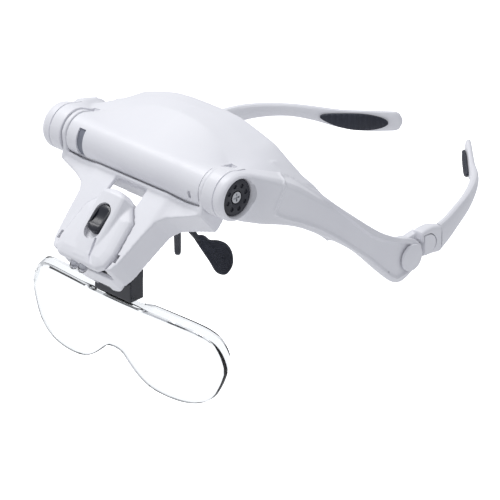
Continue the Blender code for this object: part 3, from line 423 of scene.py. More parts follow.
def clear_finish(name, colour, roughness, ior):
    material = bpy.data.materials.new(name)
    material.use_nodes = True
    nodes, links = material.node_tree.nodes, material.node_tree.links
    shader = nodes["Principled BSDF"]
    shader.inputs["Base Color"].default_value = (*colour, 1.0)
    shader.inputs["Transmission Weight"].default_value = 1.0
    shader.inputs["IOR"].default_value = ior
    where = nodes.new("ShaderNodeTexCoord")
    wipe = nodes.new("ShaderNodeTexNoise")
    wipe.inputs["Scale"].default_value = 70.0
    spread = nodes.new("ShaderNodeMapRange")
    spread.inputs["To Min"].default_value = roughness * 0.5
    spread.inputs["To Max"].default_value = roughness
    links.new(where.outputs["Object"], wipe.inputs["Vector"])
    links.new(wipe.outputs["Fac"], spread.inputs["Value"])
    links.new(spread.outputs["Result"], shader.inputs["Roughness"])
    return material


STEEL = steel_finish()
CLEAR = clear_finish("clear_moulding", (0.955, 0.972, 0.976), 0.04, 1.49)
LED_CLEAR = clear_finish("led_resin", (0.95, 0.96, 0.98), 0.05, 1.52)
print("steel and clear ready")

# %% [markdown]
# ## The housing and its side arms
#
# The housing is a moulding with a round front edge, a panel that rises to a soft crease, and a paler band
# that falls from there to the rim over the forehead. Its section changes all the way across, so it is a
# loft along X through smoothly changing sections. The side arms are lofts along Y. Real mouldings have no
# sharp joins, so the volumes are melted together with a voxel remesh and softened, and the crisp slots are
# cut afterwards.

# %% The housing's sections
# Across X: crease Y and Z, rim Y and Z, foot Y and Z.
HOUSING = (
    (0.0, 20.5, 16.9, 39.8, 15.2, 28.0, -3.5),
    (11.0, 20.3, 16.0, 39.7, 15.1, 28.4, -3.7),
    (20.0, 19.0, 14.3, 39.5, 14.4, 29.6, -4.3),
    (30.0, 16.1, 11.4, 39.0, 12.3, 32.0, -5.9),
    (36.0, 12.8, 9.4, 38.9, 10.6, 34.0, -7.4),
    (41.8, 9.6, 7.8, 38.9, 8.5, 36.0, -9.0),
    (50.0, 9.0, 7.4, 39.5, 3.0, 39.5, -13.0),
    (55.5, 9.5, 6.0, 41.0, -1.8, 42.5, -17.0),
)


def housing_section(x):
    crest_y, crest_z, rim_y, rim_z, foot_y, foot_z = between(HOUSING, abs(x))
    radius = TUBE_RADIUS if abs(x) < PLATE_OUTER else HUB_RADIUS
    reach = max(math.hypot(crest_y, crest_z), radius + 0.05)
    top = math.degrees(math.atan2(crest_z, crest_y) + math.acos(radius / reach))
    ring = arc(0, 0, radius, 285, top, 30)
    ring += [(crest_y, crest_z), ((crest_y + rim_y) / 2, (crest_z + rim_z) / 2 + 0.5)]
    ring += [(rim_y - 1.2, rim_z + 0.1), (rim_y, rim_z - 0.9)]
    ring += [(rim_y - 1.0, rim_z - 4.0), (foot_y, min(foot_z, rim_z - 6.0))]
    return [(x, y, z) for y, z in ring]


def stations(limit, step):
    count = int(round(2 * limit / step))
    return [-limit + 2 * limit * i / count for i in range(count + 1)]


housing = loft([housing_section(x) for x in stations(HOUSING[-1][0], 1.5)])
print("housing volume", round(housing.calc_volume() * 1e6, 1), "cm3")

# %% [markdown]
# Each arm leaves the hub, flares outwards and drops to the temple's pivot. Seen from the side its outer
# face is in shade, and a soft ridge parts it from the bright strip along the top. The table gives, along Y,
# the lowest Z, the ridge's Z, the inner top edge's Z, how far inwards that edge lies, and the thickness.

# %% The side arms
ARM = (
    (-2.0, -9.0, 7.5, 9.4, 3.0, 11.0),
    (3.0, -12.6, 9.2, 10.2, 5.0, 12.0),
    (10.0, -15.2, 7.4, 9.2, 7.0, 12.0),
    (19.0, -16.9, 3.4, 6.6, 8.6, 11.5),
    (28.0, -20.2, -2.4, 3.0, 8.4, 10.6),
    (37.0, -25.5, -9.4, -4.6, 6.6, 8.6),
    (46.0, -31.4, -15.6, -13.0, 4.0, 6.6),
    (55.0, -38.5, -22.4, -21.2, 2.2, 5.0),
    (62.0, -46.0, -28.0, -27.2, 1.6, 4.4),
    (68.0, -52.2, -32.4, -31.8, 1.4, 4.4),
    (75.0, -58.6, -36.4, -35.8, 1.2, 4.4),
    (80.0, -59.9, -38.6, -38.1, 1.0, 4.4),
    (86.0, -57.8, -40.6, -40.2, 0.8, 4.4),
    (90.0, -55.4, -42.8, -42.5, 0.8, 4.4),
    (92.6, -52.6, -45.6, -45.4, 0.8, 4.4),
)


ARM_SPREAD, ARM_FLARE = 22.5, 76.0


def arm_face(y):
    """How far out the flat of the arm lies: it flares quickly at first and is parallel from ARM_FLARE on."""
    u = min(max(y / ARM_FLARE, 0.0), 1.0)
    return HUB_FACE + ARM_SPREAD * (1.3 * u - 0.3 * u**3)


def bevelled_face(y):
    """The arm's outer face, which starts flush with the hub and then catches up with the flare."""
    return arm_face(y) - 3.2 * math.exp(-(((y - 7.0) / 6.0) ** 2))


def arm_section(y):
    low, ridge, rim, lean, thick = between(ARM, y)
    x = bevelled_face(y)
    soft = min(1.6, (ridge - low) / 4)
    ring = [(x - soft, low), (x - soft * 0.3, low + soft * 0.3), (x, low + soft)]
    ring += [
        (x + 0.25, (low + ridge) / 2), (x, ridge - 0.8), (x - lean * 0.25, ridge + (rim - ridge) * 0.45),
        (x - lean, rim), (x - thick, rim - soft)
    ]
    ring += [(x - thick, low + soft), (x - thick + soft / 2, low)]
    return [(u, y, v) for u, v in ring]


def flipped(rings):
    return [[(-x, y, z) for x, y, z in ring] for ring in rings]


# Across X: front Y, back Y, top Z and lowest Z of the web between housing and arm.
SHOULDER = (
    (49.0, 28, 39.0, 3.2, -11.0), (55.5, 29, 40.8, -1.6, -15.0), (60.0, 31, 43.6, -5.8, -18.0),
    (65.0, 36, 48.0, -13.2, -24.0), (70.0, 42, 54.0, -22.6, -31.0),
)
shoulder = []
for x, y0, y1, top, low in SHOULDER:
    web = [(x, y0, top + (y1 - y0) * 0.28), (x, y1 - 1.2, top), (x, y1, top - 1.0)]
    shoulder.append(web + [(x, y1 - 1.0, low), (x, y0, low)])
ARM_START, ARM_LENGTH, ARM_STEPS = ARM[0][0], ARM[-1][0] - ARM[0][0], 63
arm_rings = [arm_section(ARM_START + ARM_LENGTH * i / ARM_STEPS) for i in range(ARM_STEPS + 1)]
volumes = [housing, loft(arm_rings), loft(flipped(arm_rings)), loft(shoulder), loft(flipped(shoulder))]
for side in (1, -1):
    hub = [
        (HUB_INNER, 0.0), (HUB_INNER, HUB_RADIUS), (HUB_FACE - 5.0, HUB_RADIUS), (HUB_FACE - 1.4, 10.6),
        (HUB_FACE, 9.9), (HUB_FACE, 0.0)
    ]
    volumes.append(turned([(side * x, r) for x, r in hub]))
shell = moulded("front_shell", volumes, grain=0.62, soften=5)
print("shell skin:", len(shell.data.polygons), "quads")

# %% [markdown]
# The side panel is a shallow recess with a fine raised bead round it. It is sculpted: the skin near its
# outline is subdivided, and every vertex moves along its normal by an amount that depends on its distance
# from the outline.

# %% Panel, bead and hub groove
PANEL = (
    (18.3, -1.9), (20.3, 2.7), (22.6, 4.5), (25.3, 5.0), (29.1, 3.4), (32.3, 0.4), (36.0, -3.3),
    (41.3, -9.4), (46.9, -15.7), (55.2, -24.6), (62.2, -31.2), (68.5, -35.2), (74.6, -38.0),
    (79.0, -39.6), (84.0, -41.6), (89.8, -46.4), (90.4, -50.5), (87.0, -54.6), (82.0, -56.4),
    (76.3, -56.8), (72.5, -54.4), (70.0, -51.9), (66.6, -48.4), (62.3, -43.9), (58.5, -40.4),
    (52.4, -35.2), (47.1, -30.4), (41.5, -25.9), (36.2, -22.0), (31.1, -19.1), (26.5, -16.6),
    (22.4, -14.7), (18.4, -12.6), (16.0, -10.6), (15.7, -8.6), (16.8, -5.6),
)


def panel_distance(y, z):
    """Distance to the panel's outline, negative inside it."""
    nearest, inside = 1e9, False
    for (ay, az), (by, bz) in zip(PANEL, PANEL[1:] + PANEL[:1]):
        dy, dz = by - ay, bz - az
        t = min(max(((y - ay) * dy + (z - az) * dz) / (dy * dy + dz * dz), 0.0), 1.0)
        nearest = min(nearest, math.hypot(y - ay - t * dy, z - az - t * dz))
        if (az > z) != (bz > z) and y < ay + dy * (z - az) / dz:
            inside = not inside
    return -nearest if inside else nearest


def panel_relief(distance):
    bead = 0.5 * math.exp(-((distance / 0.5) ** 2))
    return bead - 0.7 * eased(0.3, 1.4, -distance)


PANEL_FRONT = 0.012  # metres behind the hinge: the panel lies wholly behind it
SKIN_DEPTH = 0.0088  # metres inwards of the outer face that still count as the outer skin


def on_side(vert):
    """Whether a vertex is on the outer skin of a side arm, where the panel is."""
    outermost = arm_face((vert.co.y - HINGE.y) / MM) * MM
    outer = abs(vert.co.x - HINGE.x) > outermost - SKIN_DEPTH and vert.normal.x * vert.co.x > -1e-4
    return PANEL_FRONT < vert.co.y - HINGE.y and outer


def panel_at(vert):
    return panel_distance((vert.co.y - HINGE.y) / MM, (vert.co.z - HINGE.z) / MM)


skin = bmesh.new()
skin.from_mesh(shell.data)
skin.normal_update()
near = {vert for vert in skin.verts if on_side(vert) and abs(panel_at(vert)) < 1.9}
border = [edge for edge in skin.edges if edge.verts[0] in near and edge.verts[1] in near]
bmesh.ops.subdivide_edges(skin, edges=border, cuts=1, use_grid_fill=True, smooth=0.0)
skin.normal_update()
moves = []
for vert in skin.verts:
    if on_side(vert):
        distance = panel_at(vert)
        if distance < 2.2:
            moves.append((vert, vert.normal * panel_relief(distance) * MM))
for vert, move in moves:
    vert.co += move
skin.to_mesh(shell.data)
skin.free()
print("panel vertices moved:", len(moves))

# %% [markdown]
# Now the crisp cuts: the slots that the lens arm's plates swing in, the recesses of the hinge knobs, the
# fine groove round each hub, the arc slot at one end of the tube, behind which a grey piece stands for the
# wiring in it and paints the shade inside it, the pin hole under the pivot, the small vent, and the lower
# middle of the rim.

# %% Cut the housing
def slot_tools(side):
    low, high = side * TUBE_HALF, side * HUB_INNER
    swing = [(14, -14), (-20, -30), (-20, 12), (-6.0, 12.4), (7.6, 8.4), (9.5, -2)]
    notch = arc(8.8, 8.2, 2.4, 0, 360, 20)[:-1]
    groove = [(-0.35, 10.4), (-0.35, 13.0), (0.35, 13.0), (0.35, 10.4), (-0.35, 10.4)]
    recess = [(-6.8, 0.0), (-6.8, 8.7), (-0.9, 8.7), (0.4, 9.5), (12.0, 9.5), (12.0, 0.0)]
    return [
        turned([(low, 0.0), (low, HUB_RADIUS + 0.35), (high, HUB_RADIUS + 0.35), (high, 0.0)], steps=72),
        slab(swing, x_last, low, high),
        slab(notch, x_last, side * (TUBE_HALF - 0.4), side * (HUB_INNER + 0.2)),
        turned([(side * (HUB_FACE - 5.6 + x), radius) for x, radius in groove], steps=96),
        turned([(side * (HUB_FACE + x), radius) for x, radius in recess], steps=72),
    ]


for side in (1, -1):
    carve(shell, *slot_tools(side))
arc_slot = arc(0, 0, 12.5, 136, 224, 24) + arc(0, 0, 8.3, 224, 136, 24)
carve(shell, slab(arc_slot, x_last, -35.6, -31.4))
carve(shell, turned([(70, 0.0), (70, 0.45), (84, 0.45), (84, 0.0)], (72.0, -52.4), 16))
vent = [(-7.4, -3.6), (-11.0, -3.6), (-11.0, 0.0), (-7.4, 0.0)]
carve(shell, slab(vent, x_last, 35.4, 37.2))
rim_notch = [(-20.0, 40.3), (20.0, 40.3), (20.0, 52.0), (-20.0, 52.0)]
carve(shell, slab(rim_notch, z_last, 11.0, 24.0))
dress(shell, WHITE, "white_plastic", "visor", "front_shell", sharp=32.0)
# Grey piece in the arc slot: partly the wiring seen there, partly painted shade of the slot's dark inside.
wire_and_shade = arc(0, 0, 8.9, 135, 225, 24) + arc(0, 0, 8.0, 225, 135, 24)
dress(to_object("arc_wire_and_shade", slab(wire_and_shade, x_last, -35.7, -31.3)), GREY, "grey_plastic", "visor", sharp=30.0)

# %% [markdown]
# ## The lens arm
#
# The lens arm is one white moulding: two plates that turn in the housing's slots, a broad channel that
# narrows towards the lamp, and a deep round toe that the lens clip hangs from. It is built as solid blocks
# that are cut to an outline seen square to the slope, hollowed from behind and then melted, like the
# housing.

# %% Lens arm block
YOKE_HALF = (
    (0.0, 10.4), (44.5, 10.4), (44.5, 12.8), (42.0, 14.8), (33.2, 17.8), (27.5, 20.4), (24.4, 24.6),
    (22.9, 32.8), (21.5, 41.0), (20.3, 48.0), (18.4, 52.4), (14.0, 54.0), (0.0, 54.0),
)
TOE_RADIUS, TOE_DEPTH = 18.5, 25.0
YOKE_DEPTH, YOKE_WALL, YOKE_TOE = 14.5, 2.0, YOKE_HALF[-1][1]
WINDOW_HALF = 9.9
LAMP_OUTLINE = (
    (3.6, 19.0), (8.2, 21.4), (14.6, 29.2), (15.1, 34.0), (16.6, 46.5), (15.6, 52.4), (12.0, 55.0),
)


def inset_half(half, by):
    """A half outline moved inwards by a distance along every edge."""
    moved = []
    for i, (x, s) in enumerate(half):
        before = half[i - 1] if i else (-half[1][0], half[1][1])
        after = half[i + 1] if i + 1 < len(half) else (-half[-2][0], half[-2][1])
        into = Vector((before[1] - s, x - before[0])).normalized()
        onward = Vector((s - after[1], after[0] - x)).normalized()
        shift = (into + onward) * by / (1 + into.dot(onward))
        moved.append((max(x + shift.x, 0.0), s + shift.y))
    return moved


def toe_ring(s, radius, drop):
    ring = arc(0, radius - drop, radius, 0, -180, 28)
    return [sloped(x, s, n) for x, n in [(radius, 9.0), *ring, (-radius, 9.0)]]


def taken(piece):
    """Takes a piece's mesh back as a bmesh and removes the piece."""
    bm = bmesh.new()
    mesh = piece.data
    bm.from_mesh(mesh)
    bpy.data.objects.remove(piece, do_unlink=True)
    bpy.data.meshes.remove(mesh)
    return bm


def slope_box(x0, x1, s0, s1, low, high):
    return slab([(x0, s0), (x1, s0), (x1, s1), (x0, s1)], sloped, low, high)


block = to_object("block", slab(mirrored(YOKE_HALF), sloped, -TOE_DEPTH - 2, 0.0))
walls = to_object("walls", slope_box(-60, 60, 0, 70, -YOKE_DEPTH, 4.0), flat_faces=True)
toe = [toe_ring(YOKE_TOE - 22, TOE_RADIUS, YOKE_DEPTH - 1), toe_ring(YOKE_TOE - 10, TOE_RADIUS, TOE_DEPTH)]
carve(walls, loft([*toe, toe_ring(YOKE_TOE + 4, TOE_RADIUS, TOE_DEPTH)]), operation="UNION")
carve(block, taken(walls), operation="INTERSECT")
print("block:", len(block.data.polygons), "faces")

# %% [markdown]
# The moulding is hollow from behind, with walls of one thickness, so that it stays light and cools without
# sinking. The plates that turn in the housing's slots, a stiffening rib and a lip that hides the gap under
# the tube are added before everything is melted.

# %% Hollow the lens arm from behind
inner = [(0.0, 12.4), (36.0, 12.4), *inset_half(YOKE_HALF, YOKE_WALL)[4:]]
channel = to_object("channel", slab(mirrored(inner), sloped, -TOE_DEPTH - 9, -YOKE_WALL), flat_faces=True)
trough_radius = TOE_RADIUS - YOKE_WALL
steps = (
    (YOKE_TOE - 40, YOKE_DEPTH + 2), (YOKE_TOE - 8, TOE_DEPTH - YOKE_WALL),
    (YOKE_TOE - 2, TOE_DEPTH - YOKE_WALL)
)
trough = to_object("trough", loft([toe_ring(s, trough_radius, drop) for s, drop in steps]), flat_faces=True)
carve(trough, slope_box(-60, 60, 0, YOKE_TOE - 17, -60, 4.0), operation="UNION")
carve(channel, taken(trough), operation="INTERSECT")
carve(block, taken(channel))
opening = [(WINDOW_HALF, 2.0), (WINDOW_HALF, 22.8), *((x + 0.6, s) for x, s in LAMP_OUTLINE[2:5])]
opening += [(16.2, YOKE_TOE - 2.5), (12.6, YOKE_TOE + 6)]
carve(block, slab(mirrored(opening), sloped, -9.0, 9.0))
rib = slope_box(-WINDOW_HALF - 2.5, WINDOW_HALF + 2.5, 10.6, 12.7, -YOKE_DEPTH + 0.2, -3.4)
volumes = [taken(block), rib]
for side in (1, -1):
    cheek = arc(0, 0, TUBE_RADIUS + 0.5, 53, 270, 60)
    cheek += [(8.4, -14.1), (14.4, -14.1), (14.4, -1.0), (13.4, 0.2), (10.7, 2.0)]
    volumes.append(slab(cheek, lambda s, n, x: sloped(x, s, n), side * PLATE_INNER, side * PLATE_OUTER))
lip = arc(0, 0, 10.4, 216, 262, 16) + arc(0, 0, 12.0, 262, 216, 16)
volumes.append(slab(lip, x_last, -PLATE_INNER - 0.4, PLATE_INNER + 0.4))
yoke = moulded("yoke_frame", volumes, grain=0.5, soften=6)
print("lens arm skin:", len(yoke.data.polygons), "quads")

# %% [markdown]
# The channel's front is not flat on the real object: it sinks between the plates and the bend, and rises
# again beside the lamp. The skin's front vertices follow that wave, which fades out down the side walls.

# %% Wave in the front, then the small openings
FRONT_WAVE = ((18.0, 0.0), (22.0, 0.1), (26.0, -0.9), (30.0, -1.5), (35.0, -1.3), (41.0, 0.0), (42.2, 0.0))
for vert in yoke.data.vertices:
    x, y, z = (vert.co - HINGE) / MM
    s = -math.cos(SLOPE) * y - math.sin(SLOPE) * z
    n = -math.sin(SLOPE) * y + math.cos(SLOPE) * z
    if s > 9.5 and FRONT_WAVE[0][0] < abs(x) < FRONT_WAVE[-1][0]:
        lift = between(FRONT_WAVE, abs(x))[0] * eased(-9.0, -2.0, n)
        vert.co += Vector((0, -math.sin(SLOPE), math.cos(SLOPE))) * lift * MM
for side in (1, -1):
    notch = [(side * 15.6, 44.5), (side * 18.8, 44.4), (side * 18.8, 48.6), (side * 15.6, 48.5)]
    carve(yoke, slab(notch, sloped, -5.3, 5.0))
CLIP_AXIS = (47.0, -18.0)
_, PIN_Y, PIN_Z = sloped(0, *CLIP_AXIS)
way = [(PIN_Y - 4.6, PIN_Z), (PIN_Y + 4.4, PIN_Z), (PIN_Y + 7.6, PIN_Z - 13.0), (PIN_Y - 2.8, PIN_Z - 13.0)]
carve(yoke, slab(way, x_last, -5.1, 5.1))
carve(yoke, turned([(-30, 0.0), (-30, 1.4), (30, 1.4), (30, 0.0)], (PIN_Y, PIN_Z), 24))
for side in (1, -1):
    carve(yoke, turned([(side * 41, 0.0), (side * 41, 1.9), (side * 46, 1.9), (side * 46, 0.0)], steps=24))
dress(yoke, WHITE, "white_plastic", "lens_arm", "yoke_frame", sharp=38.0)

# %% [markdown]
# ## The hinge ends
#
# Each end of the tube has a black knob sunk in the hub, with dimples round a steel screw that stays from
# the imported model. It is a turning with eight shallow turned dimples cut in it. A grey sleeve carries each
# plate of the lens arm inside the tube.

# %% Knobs and sleeves
KNOB_OUT = HUB_FACE - 1.4
KNOB = [(-5.0, 1.8), (-5.0, 8.4), (-0.9, 8.4), (-0.3, 8.1), (0.0, 7.5)]
KNOB += [(-0.15, 3.5), (-0.4, 3.1), (-1.6, 3.0), (-1.6, 1.8), (-5.0, 1.8)]
DIMPLE = [(-0.9, 0.0), (-0.7, 0.8), (0.6, 1.35), (0.6, 0.0)]
DIMPLE_RING = 5.5
for side, name in ((1, "left"), (-1, "right")):
    profile = [(side * (KNOB_OUT + x), radius) for x, radius in KNOB]
    knob = to_object(f"hinge_knob_{name}", turned(profile, steps=96), flat_faces=True)
    for turn in range(8):
        way = math.radians(45 * turn + 12)
        centre = (DIMPLE_RING * math.cos(way), DIMPLE_RING * math.sin(way))
        carve(knob, turned([(side * (KNOB_OUT + x), radius) for x, radius in DIMPLE], centre, 20))
    dress(knob, KNOB_BLACK, "black_plastic", "lens_arm", f"hinge_knob_{name}", sharp=30.0)
    low, high = TUBE_HALF - 7.0, PLATE_INNER - 0.3
    profile = [
        (low, 1.8), (low, 6.7), (low + 0.3, 7.0), (high - 0.3, 7.0), (high, 6.7), (high, 1.8), (low, 1.8)
    ]
    sleeve = to_object(f"pivot_sleeve_{name}", turned([(side * x, r) for x, r in profile], steps=72))
    dress(sleeve, GREY, "grey_plastic", "lens_arm", f"pivot_sleeve_{name}", sharp=30.0)

# %% [markdown]
# ## The lamp
#
# The lamp's cover is a shallow white shield with a raised tongue, a slot for the slide switch and a round-
# nosed bottom edge over the two light-emitting diodes. A narrow shadow line parts the tongue from the
# shield's left side.

# %% Lamp cover
def capsule(length, radius, middle, squeeze=1.0):
    straight = length / 2 - radius
    ends = arc(0, straight, radius, 0, 180, 16) + arc(0, -straight, radius, 180, 360, 16)
    return [(x * squeeze, s + middle) for x, s in ends]


def tongue_height(s):
    return 6.2 - 0.12 * (s - 19.0)


shield = []
for n, by in ((-1.6, 0.0), (0.9, 0.0), (1.7, 0.7), (2.3, 2.4), (2.8, 4.6)):
    half = inset_half(LAMP_OUTLINE, by) if by else LAMP_OUTLINE
    shield.append([sloped(x, s, n) for x, s in mirrored(half)])
# Down the slope: half the width of the tongue.
TONGUE = (
    (19.2, 2.6), (20.4, 5.4), (22.0, 7.0), (33.0, 7.3), (44.0, 7.2), (49.0, 6.6), (52.5, 7.8), (54.8, 9.2),
)
tongue = []
for s, half in TONGUE:
    high = tongue_height(s) - eased(52.0, 55.5, s) * 1.4 - (1 - eased(18.6, 22.0, s)) * 1.6
    ring = [(half + 2.8, 0.4), (half + 1.1, high * 0.55), (half, high - 0.6)]
    ring += [(half - 1.2, high), (half * 0.4, high + 0.35)]
    ring += [(-x, n) for x, n in reversed(ring)]
    tongue.append([sloped(x, s, n) for x, n in ring])
cover = moulded("lamp_cover", [loft(shield), loft(tongue)], grain=0.34, soften=4)
carve(cover, slab(mirrored(inset_half(LAMP_OUTLINE, 1.5)), sloped, -6.0, 0.0))
carve(cover, slab(capsule(17.6, 4.6, 35.5), sloped, 1.2, 14.0))
course = ((4.2, 42.6, 0.5), (4.9, 46.5, 0.7), (6.2, 50.6, 0.9), (8.6, 53.6, 0.9), (11.8, 56.2, 0.8))
groove = [(x + half, s) for x, s, half in course] + [(x - half, s) for x, s, half in reversed(course)]
carve(cover, slab(groove, sloped, 1.9, 9.0))
LED_OUT, LED_DEPTH, LED_RADIUS = 2.7, -1.9, 2.1


def led_ring(out, s, radius, steps):
    return [sloped(out + radius * c, s, LED_DEPTH + radius * d) for c, d in round_trip(steps)]


for out in (LED_OUT, -LED_OUT):
    carve(cover, loft([led_ring(out, s, LED_RADIUS + 0.3, 24) for s in (47.5, 62.0)]))
dress(cover, WHITE, "white_plastic", "lamp", "lamp_cover", sharp=38.0)

# %% [markdown]
# The slide switch is a black capsule with a thumb hollow, which is a large turned cut. Each diode is
# a clear resin cylinder with a domed end, as such diodes are cast.

# %% Switch and light-emitting diodes
SWITCH_MIDDLE = 33.9
top = tongue_height(SWITCH_MIDDLE) + 0.4
rings = []
for n, by in ((1.5, 0), (top - 0.6, 0), (top - 0.2, 0.2), (top, 0.7)):
    rings.append([sloped(x, s, n) for x, s in capsule(13.6 - 2 * by, 4.2 - by, SWITCH_MIDDLE)])
switch = to_object("slide_switch", loft(rings), flat_faces=True)
_, dip_y, dip_z = sloped(0, 33.6, top + 9.3)
carve(switch, turned([(-3.0, 0.0), (-3.0, 10.1), (3.0, 10.1), (3.0, 0.0)], (dip_y, dip_z), 96))
dress(switch, BLACK, "black_plastic", "switch", "slide_switch", sharp=28.0, bevel=0.15)
DOME_START, DOME_RISE = 55.6, 2.8
profile = [(50.5, LED_RADIUS), (DOME_START, LED_RADIUS)]
for angle in (0.25, 0.5, 0.75, 1.0, 1.25, 1.45, 1.54):
    profile.append((DOME_START + DOME_RISE * math.sin(angle), max(LED_RADIUS * math.cos(angle), 0.12)))
for name, out in (("led_left", LED_OUT), ("led_right", -LED_OUT)):
    rings = [led_ring(out, s, radius, 32) for s, radius in profile]
    dress(to_object(name, loft(rings)), LED_CLEAR, "clear_acrylic", "lamp", name, sharp=50.0)

# %% [markdown]
# ## The lens and its clip
#
# The lens is one clear acrylic moulding, cut out for the nose, with a return edge along its top that
# stiffens it. Its outline comes from a smooth curve through a few widths, so its section is lofted along X
# in fine steps.

# %% The lens
LENS_EDGE = (
    (0.0, 3.4, 14.2), (5.0, 3.4, 13.2), (9.5, 3.4, 9.4), (14.5, 3.3, 5.4), (20.5, 3.2, 2.2),
    (28.0, 3.0, 0.6), (38.0, 2.4, 0.2), (46.0, 1.6, 1.4), (52.0, 0.4, 4.0), (56.5, -1.8, 8.0),
    (59.5, -5.4, 13.2), (61.2, -9.4, 17.6), (62.0, -12.2, 20.2),
)
LENS_TOP, LENS_LOW, LENS_Y, LENS_THICK = -62.8, -98.6, -21.8, 2.4
LENS_HALF, LENS_WRAP = 59.8, 7.2


def lens_section(x):
    high, low = between(LENS_EDGE, abs(x))
    top, bottom = LENS_TOP + high, LENS_LOW + low
    y = LENS_Y + LENS_WRAP * (x / LENS_HALF) ** 2
    tall = top - bottom
    lift = 1.6 * eased(12.0, 22.0, abs(x)) * eased(3.0, 10.0, tall)
    deep = min(5.0, LENS_THICK + tall * 0.3)
    soft = min(0.4, tall * 0.12)
    ring = [(y, top - soft), (y, bottom + soft), (y + soft, bottom), (y + LENS_THICK - soft, bottom)]
    ring += [(y + LENS_THICK, bottom + soft), (y + LENS_THICK, max(top - 2.2, bottom + 2 * soft))]
    ring += [(y + deep, max(top - 2.0, bottom + 2.5 * soft) + lift * 0.8), (y + deep, top + lift)]
    ring += [(y + deep - soft, top + lift + soft / 2), (y + soft, top + soft / 2)]
    return [(x, u, v) for u, v in ring]


round_end = [54.0, 55.8, 57.5, 59.0, 60.2, 61.0, 61.6, 61.9]
spots = [-x for x in reversed(round_end)] + stations(52.0, 1.3) + round_end
lens = to_object("lens", loft([lens_section(x) for x in spots]), flat_faces=True)
tab = [(-8.5, LENS_Y + 2.1), (8.5, LENS_Y + 2.1), (8.5, LENS_Y + 4.7), (-8.5, LENS_Y + 4.7)]
carve(lens, slab(tab, z_last, LENS_TOP + 2.0, -53.7), operation="UNION")
dress(lens, CLEAR, "clear_acrylic", "lens", "lens", sharp=32.0)

# %% [markdown]
# The clip is a black block cut to the round of the lens arm's toe, with a stem up to the pin that it nods
# on. The lens's tab slides into the pocket in its underside, so lenses of other powers can be changed over.

# %% The lens clip
front = LENS_Y - 0.1
back = front + 7.8
base = LENS_TOP + 4.2
side_view = [(front, base), (back, base + 0.3), (back + 0.3, base + 14.0), (front, base + 11.5)]
CLIP_HALF, CLIP_ROOM = 11.7, 1.6
clip = to_object("clip_block", slab(side_view, x_last, -CLIP_HALF, CLIP_HALF), flat_faces=True)
room = (
    (YOKE_TOE - 24, YOKE_DEPTH), (YOKE_TOE - 10, TOE_DEPTH + CLIP_ROOM),
    (YOKE_TOE + 6, TOE_DEPTH + CLIP_ROOM)
)
carve(clip, loft([toe_ring(s, TOE_RADIUS + CLIP_ROOM, drop) for s, drop in room]))
stem = [
    (PIN_Y - 2.2, PIN_Z + 2.2), (PIN_Y + 2.2, PIN_Z + 2.2), (PIN_Y + 5.6, base + 4.0),
    (PIN_Y + 1.2, base + 4.0)
]
clip = moulded("lens_clip", [taken(clip), slab(stem, x_last, -4.5, 4.5)], grain=0.34, soften=3)
seat = [(-8.8, front + 1.9), (8.8, front + 1.9), (8.8, front + 5.1), (-8.8, front + 5.1)]
carve(clip, slab(seat, z_last, base - 2.0, base + 5.2))
carve(clip, turned([(-6, 0.0), (-6, 1.35), (6, 1.35), (6, 0.0)], (PIN_Y, PIN_Z), 24))
dress(clip, BLACK, "black_plastic", "clip", "lens_clip", sharp=40.0)

# %% [markdown]
# ## The nose rest
#
# Two soft pads hang from thin bent legs. Each pad is a leaf with fine concentric ridges that stop it from
# slipping; it is lofted from its middle out over the ridges to its edge and back along its other side.

# %% Nose pads
def on_curve(a, b, c, d, t):
    """The point at t between b and c, on a smooth curve that also heeds a and d."""
    return 0.5 * (2 * b + (c - a) * t + (2 * a - 5 * b + 4 * c - d) * t**2 + (3 * b - a - 3 * c + d) * t**3)


def smooth_loop(points, steps):
    """A closed smooth curve through the points."""
    loop, count = [], len(points)
    for i in range(count):
        corners = [Vector(points[(i + k) % count]) for k in (-1, 0, 1, 2)]
        loop += [on_curve(*corners, j / steps) for j in range(steps)]
    return loop


def pad_point(side, across, up, out):
    """A point of a pad, which stands turned by 45 degrees so that it lies along the side of the nose."""
    turn = math.sqrt(0.5)
    return side * (11.5 + (across - out) * turn), 29.0 + (across + out) * turn, -54.0 + up


LEAF = smooth_loop(
    ((-8.9, 11.3), (-6.4, 11.6), (-3.9, 11.2), (-1.6, 9.2), (2.5, 8.8), (6.2, 7.0), (8.6, 3.0), (9.0, -2.5),
     (6.8, -6.9), (4.2, -7.9), (1.0, -6.2), (-1.8, -1.1), (-5.9, 5.7)), 5)
LEAF_U, LEAF_V = 4.4, 0.8
for side, name in ((1, "left"), (-1, "right")):
    face = [(0.03, 0.7), (0.05, 1.3)]
    for ridge in range(7):
        share = 0.16 + ridge * 0.115
        face += [(share - 0.03, 1.3), (share, 1.52), (share + 0.03, 1.3)]
    face += [(0.93, 1.35), (0.985, 0.9), (1.0, 0.3)]
    stack = [(share, -out) for share, out in face] + [(share, out) for share, out in reversed(face)]
    rings = []
    for share, out in stack:
        shrunk = [(LEAF_U + (u - LEAF_U) * share, LEAF_V + (v - LEAF_V) * share) for u, v in LEAF]
        rings.append([pad_point(side, u, v, out) for u, v in shrunk])
    pad = to_object(f"nose_pad_{name}", loft(rings))
    dress(pad, RUBBER, "black_rubber", "visor", f"nose_pad_{name}", sharp=60.0)

# %% [markdown]
# The bracket sits under the housing. Its two legs are a little springy, so that the wearer can bend
# them; they thin out on their way down to the pads, and are melted into the plate that carries them.

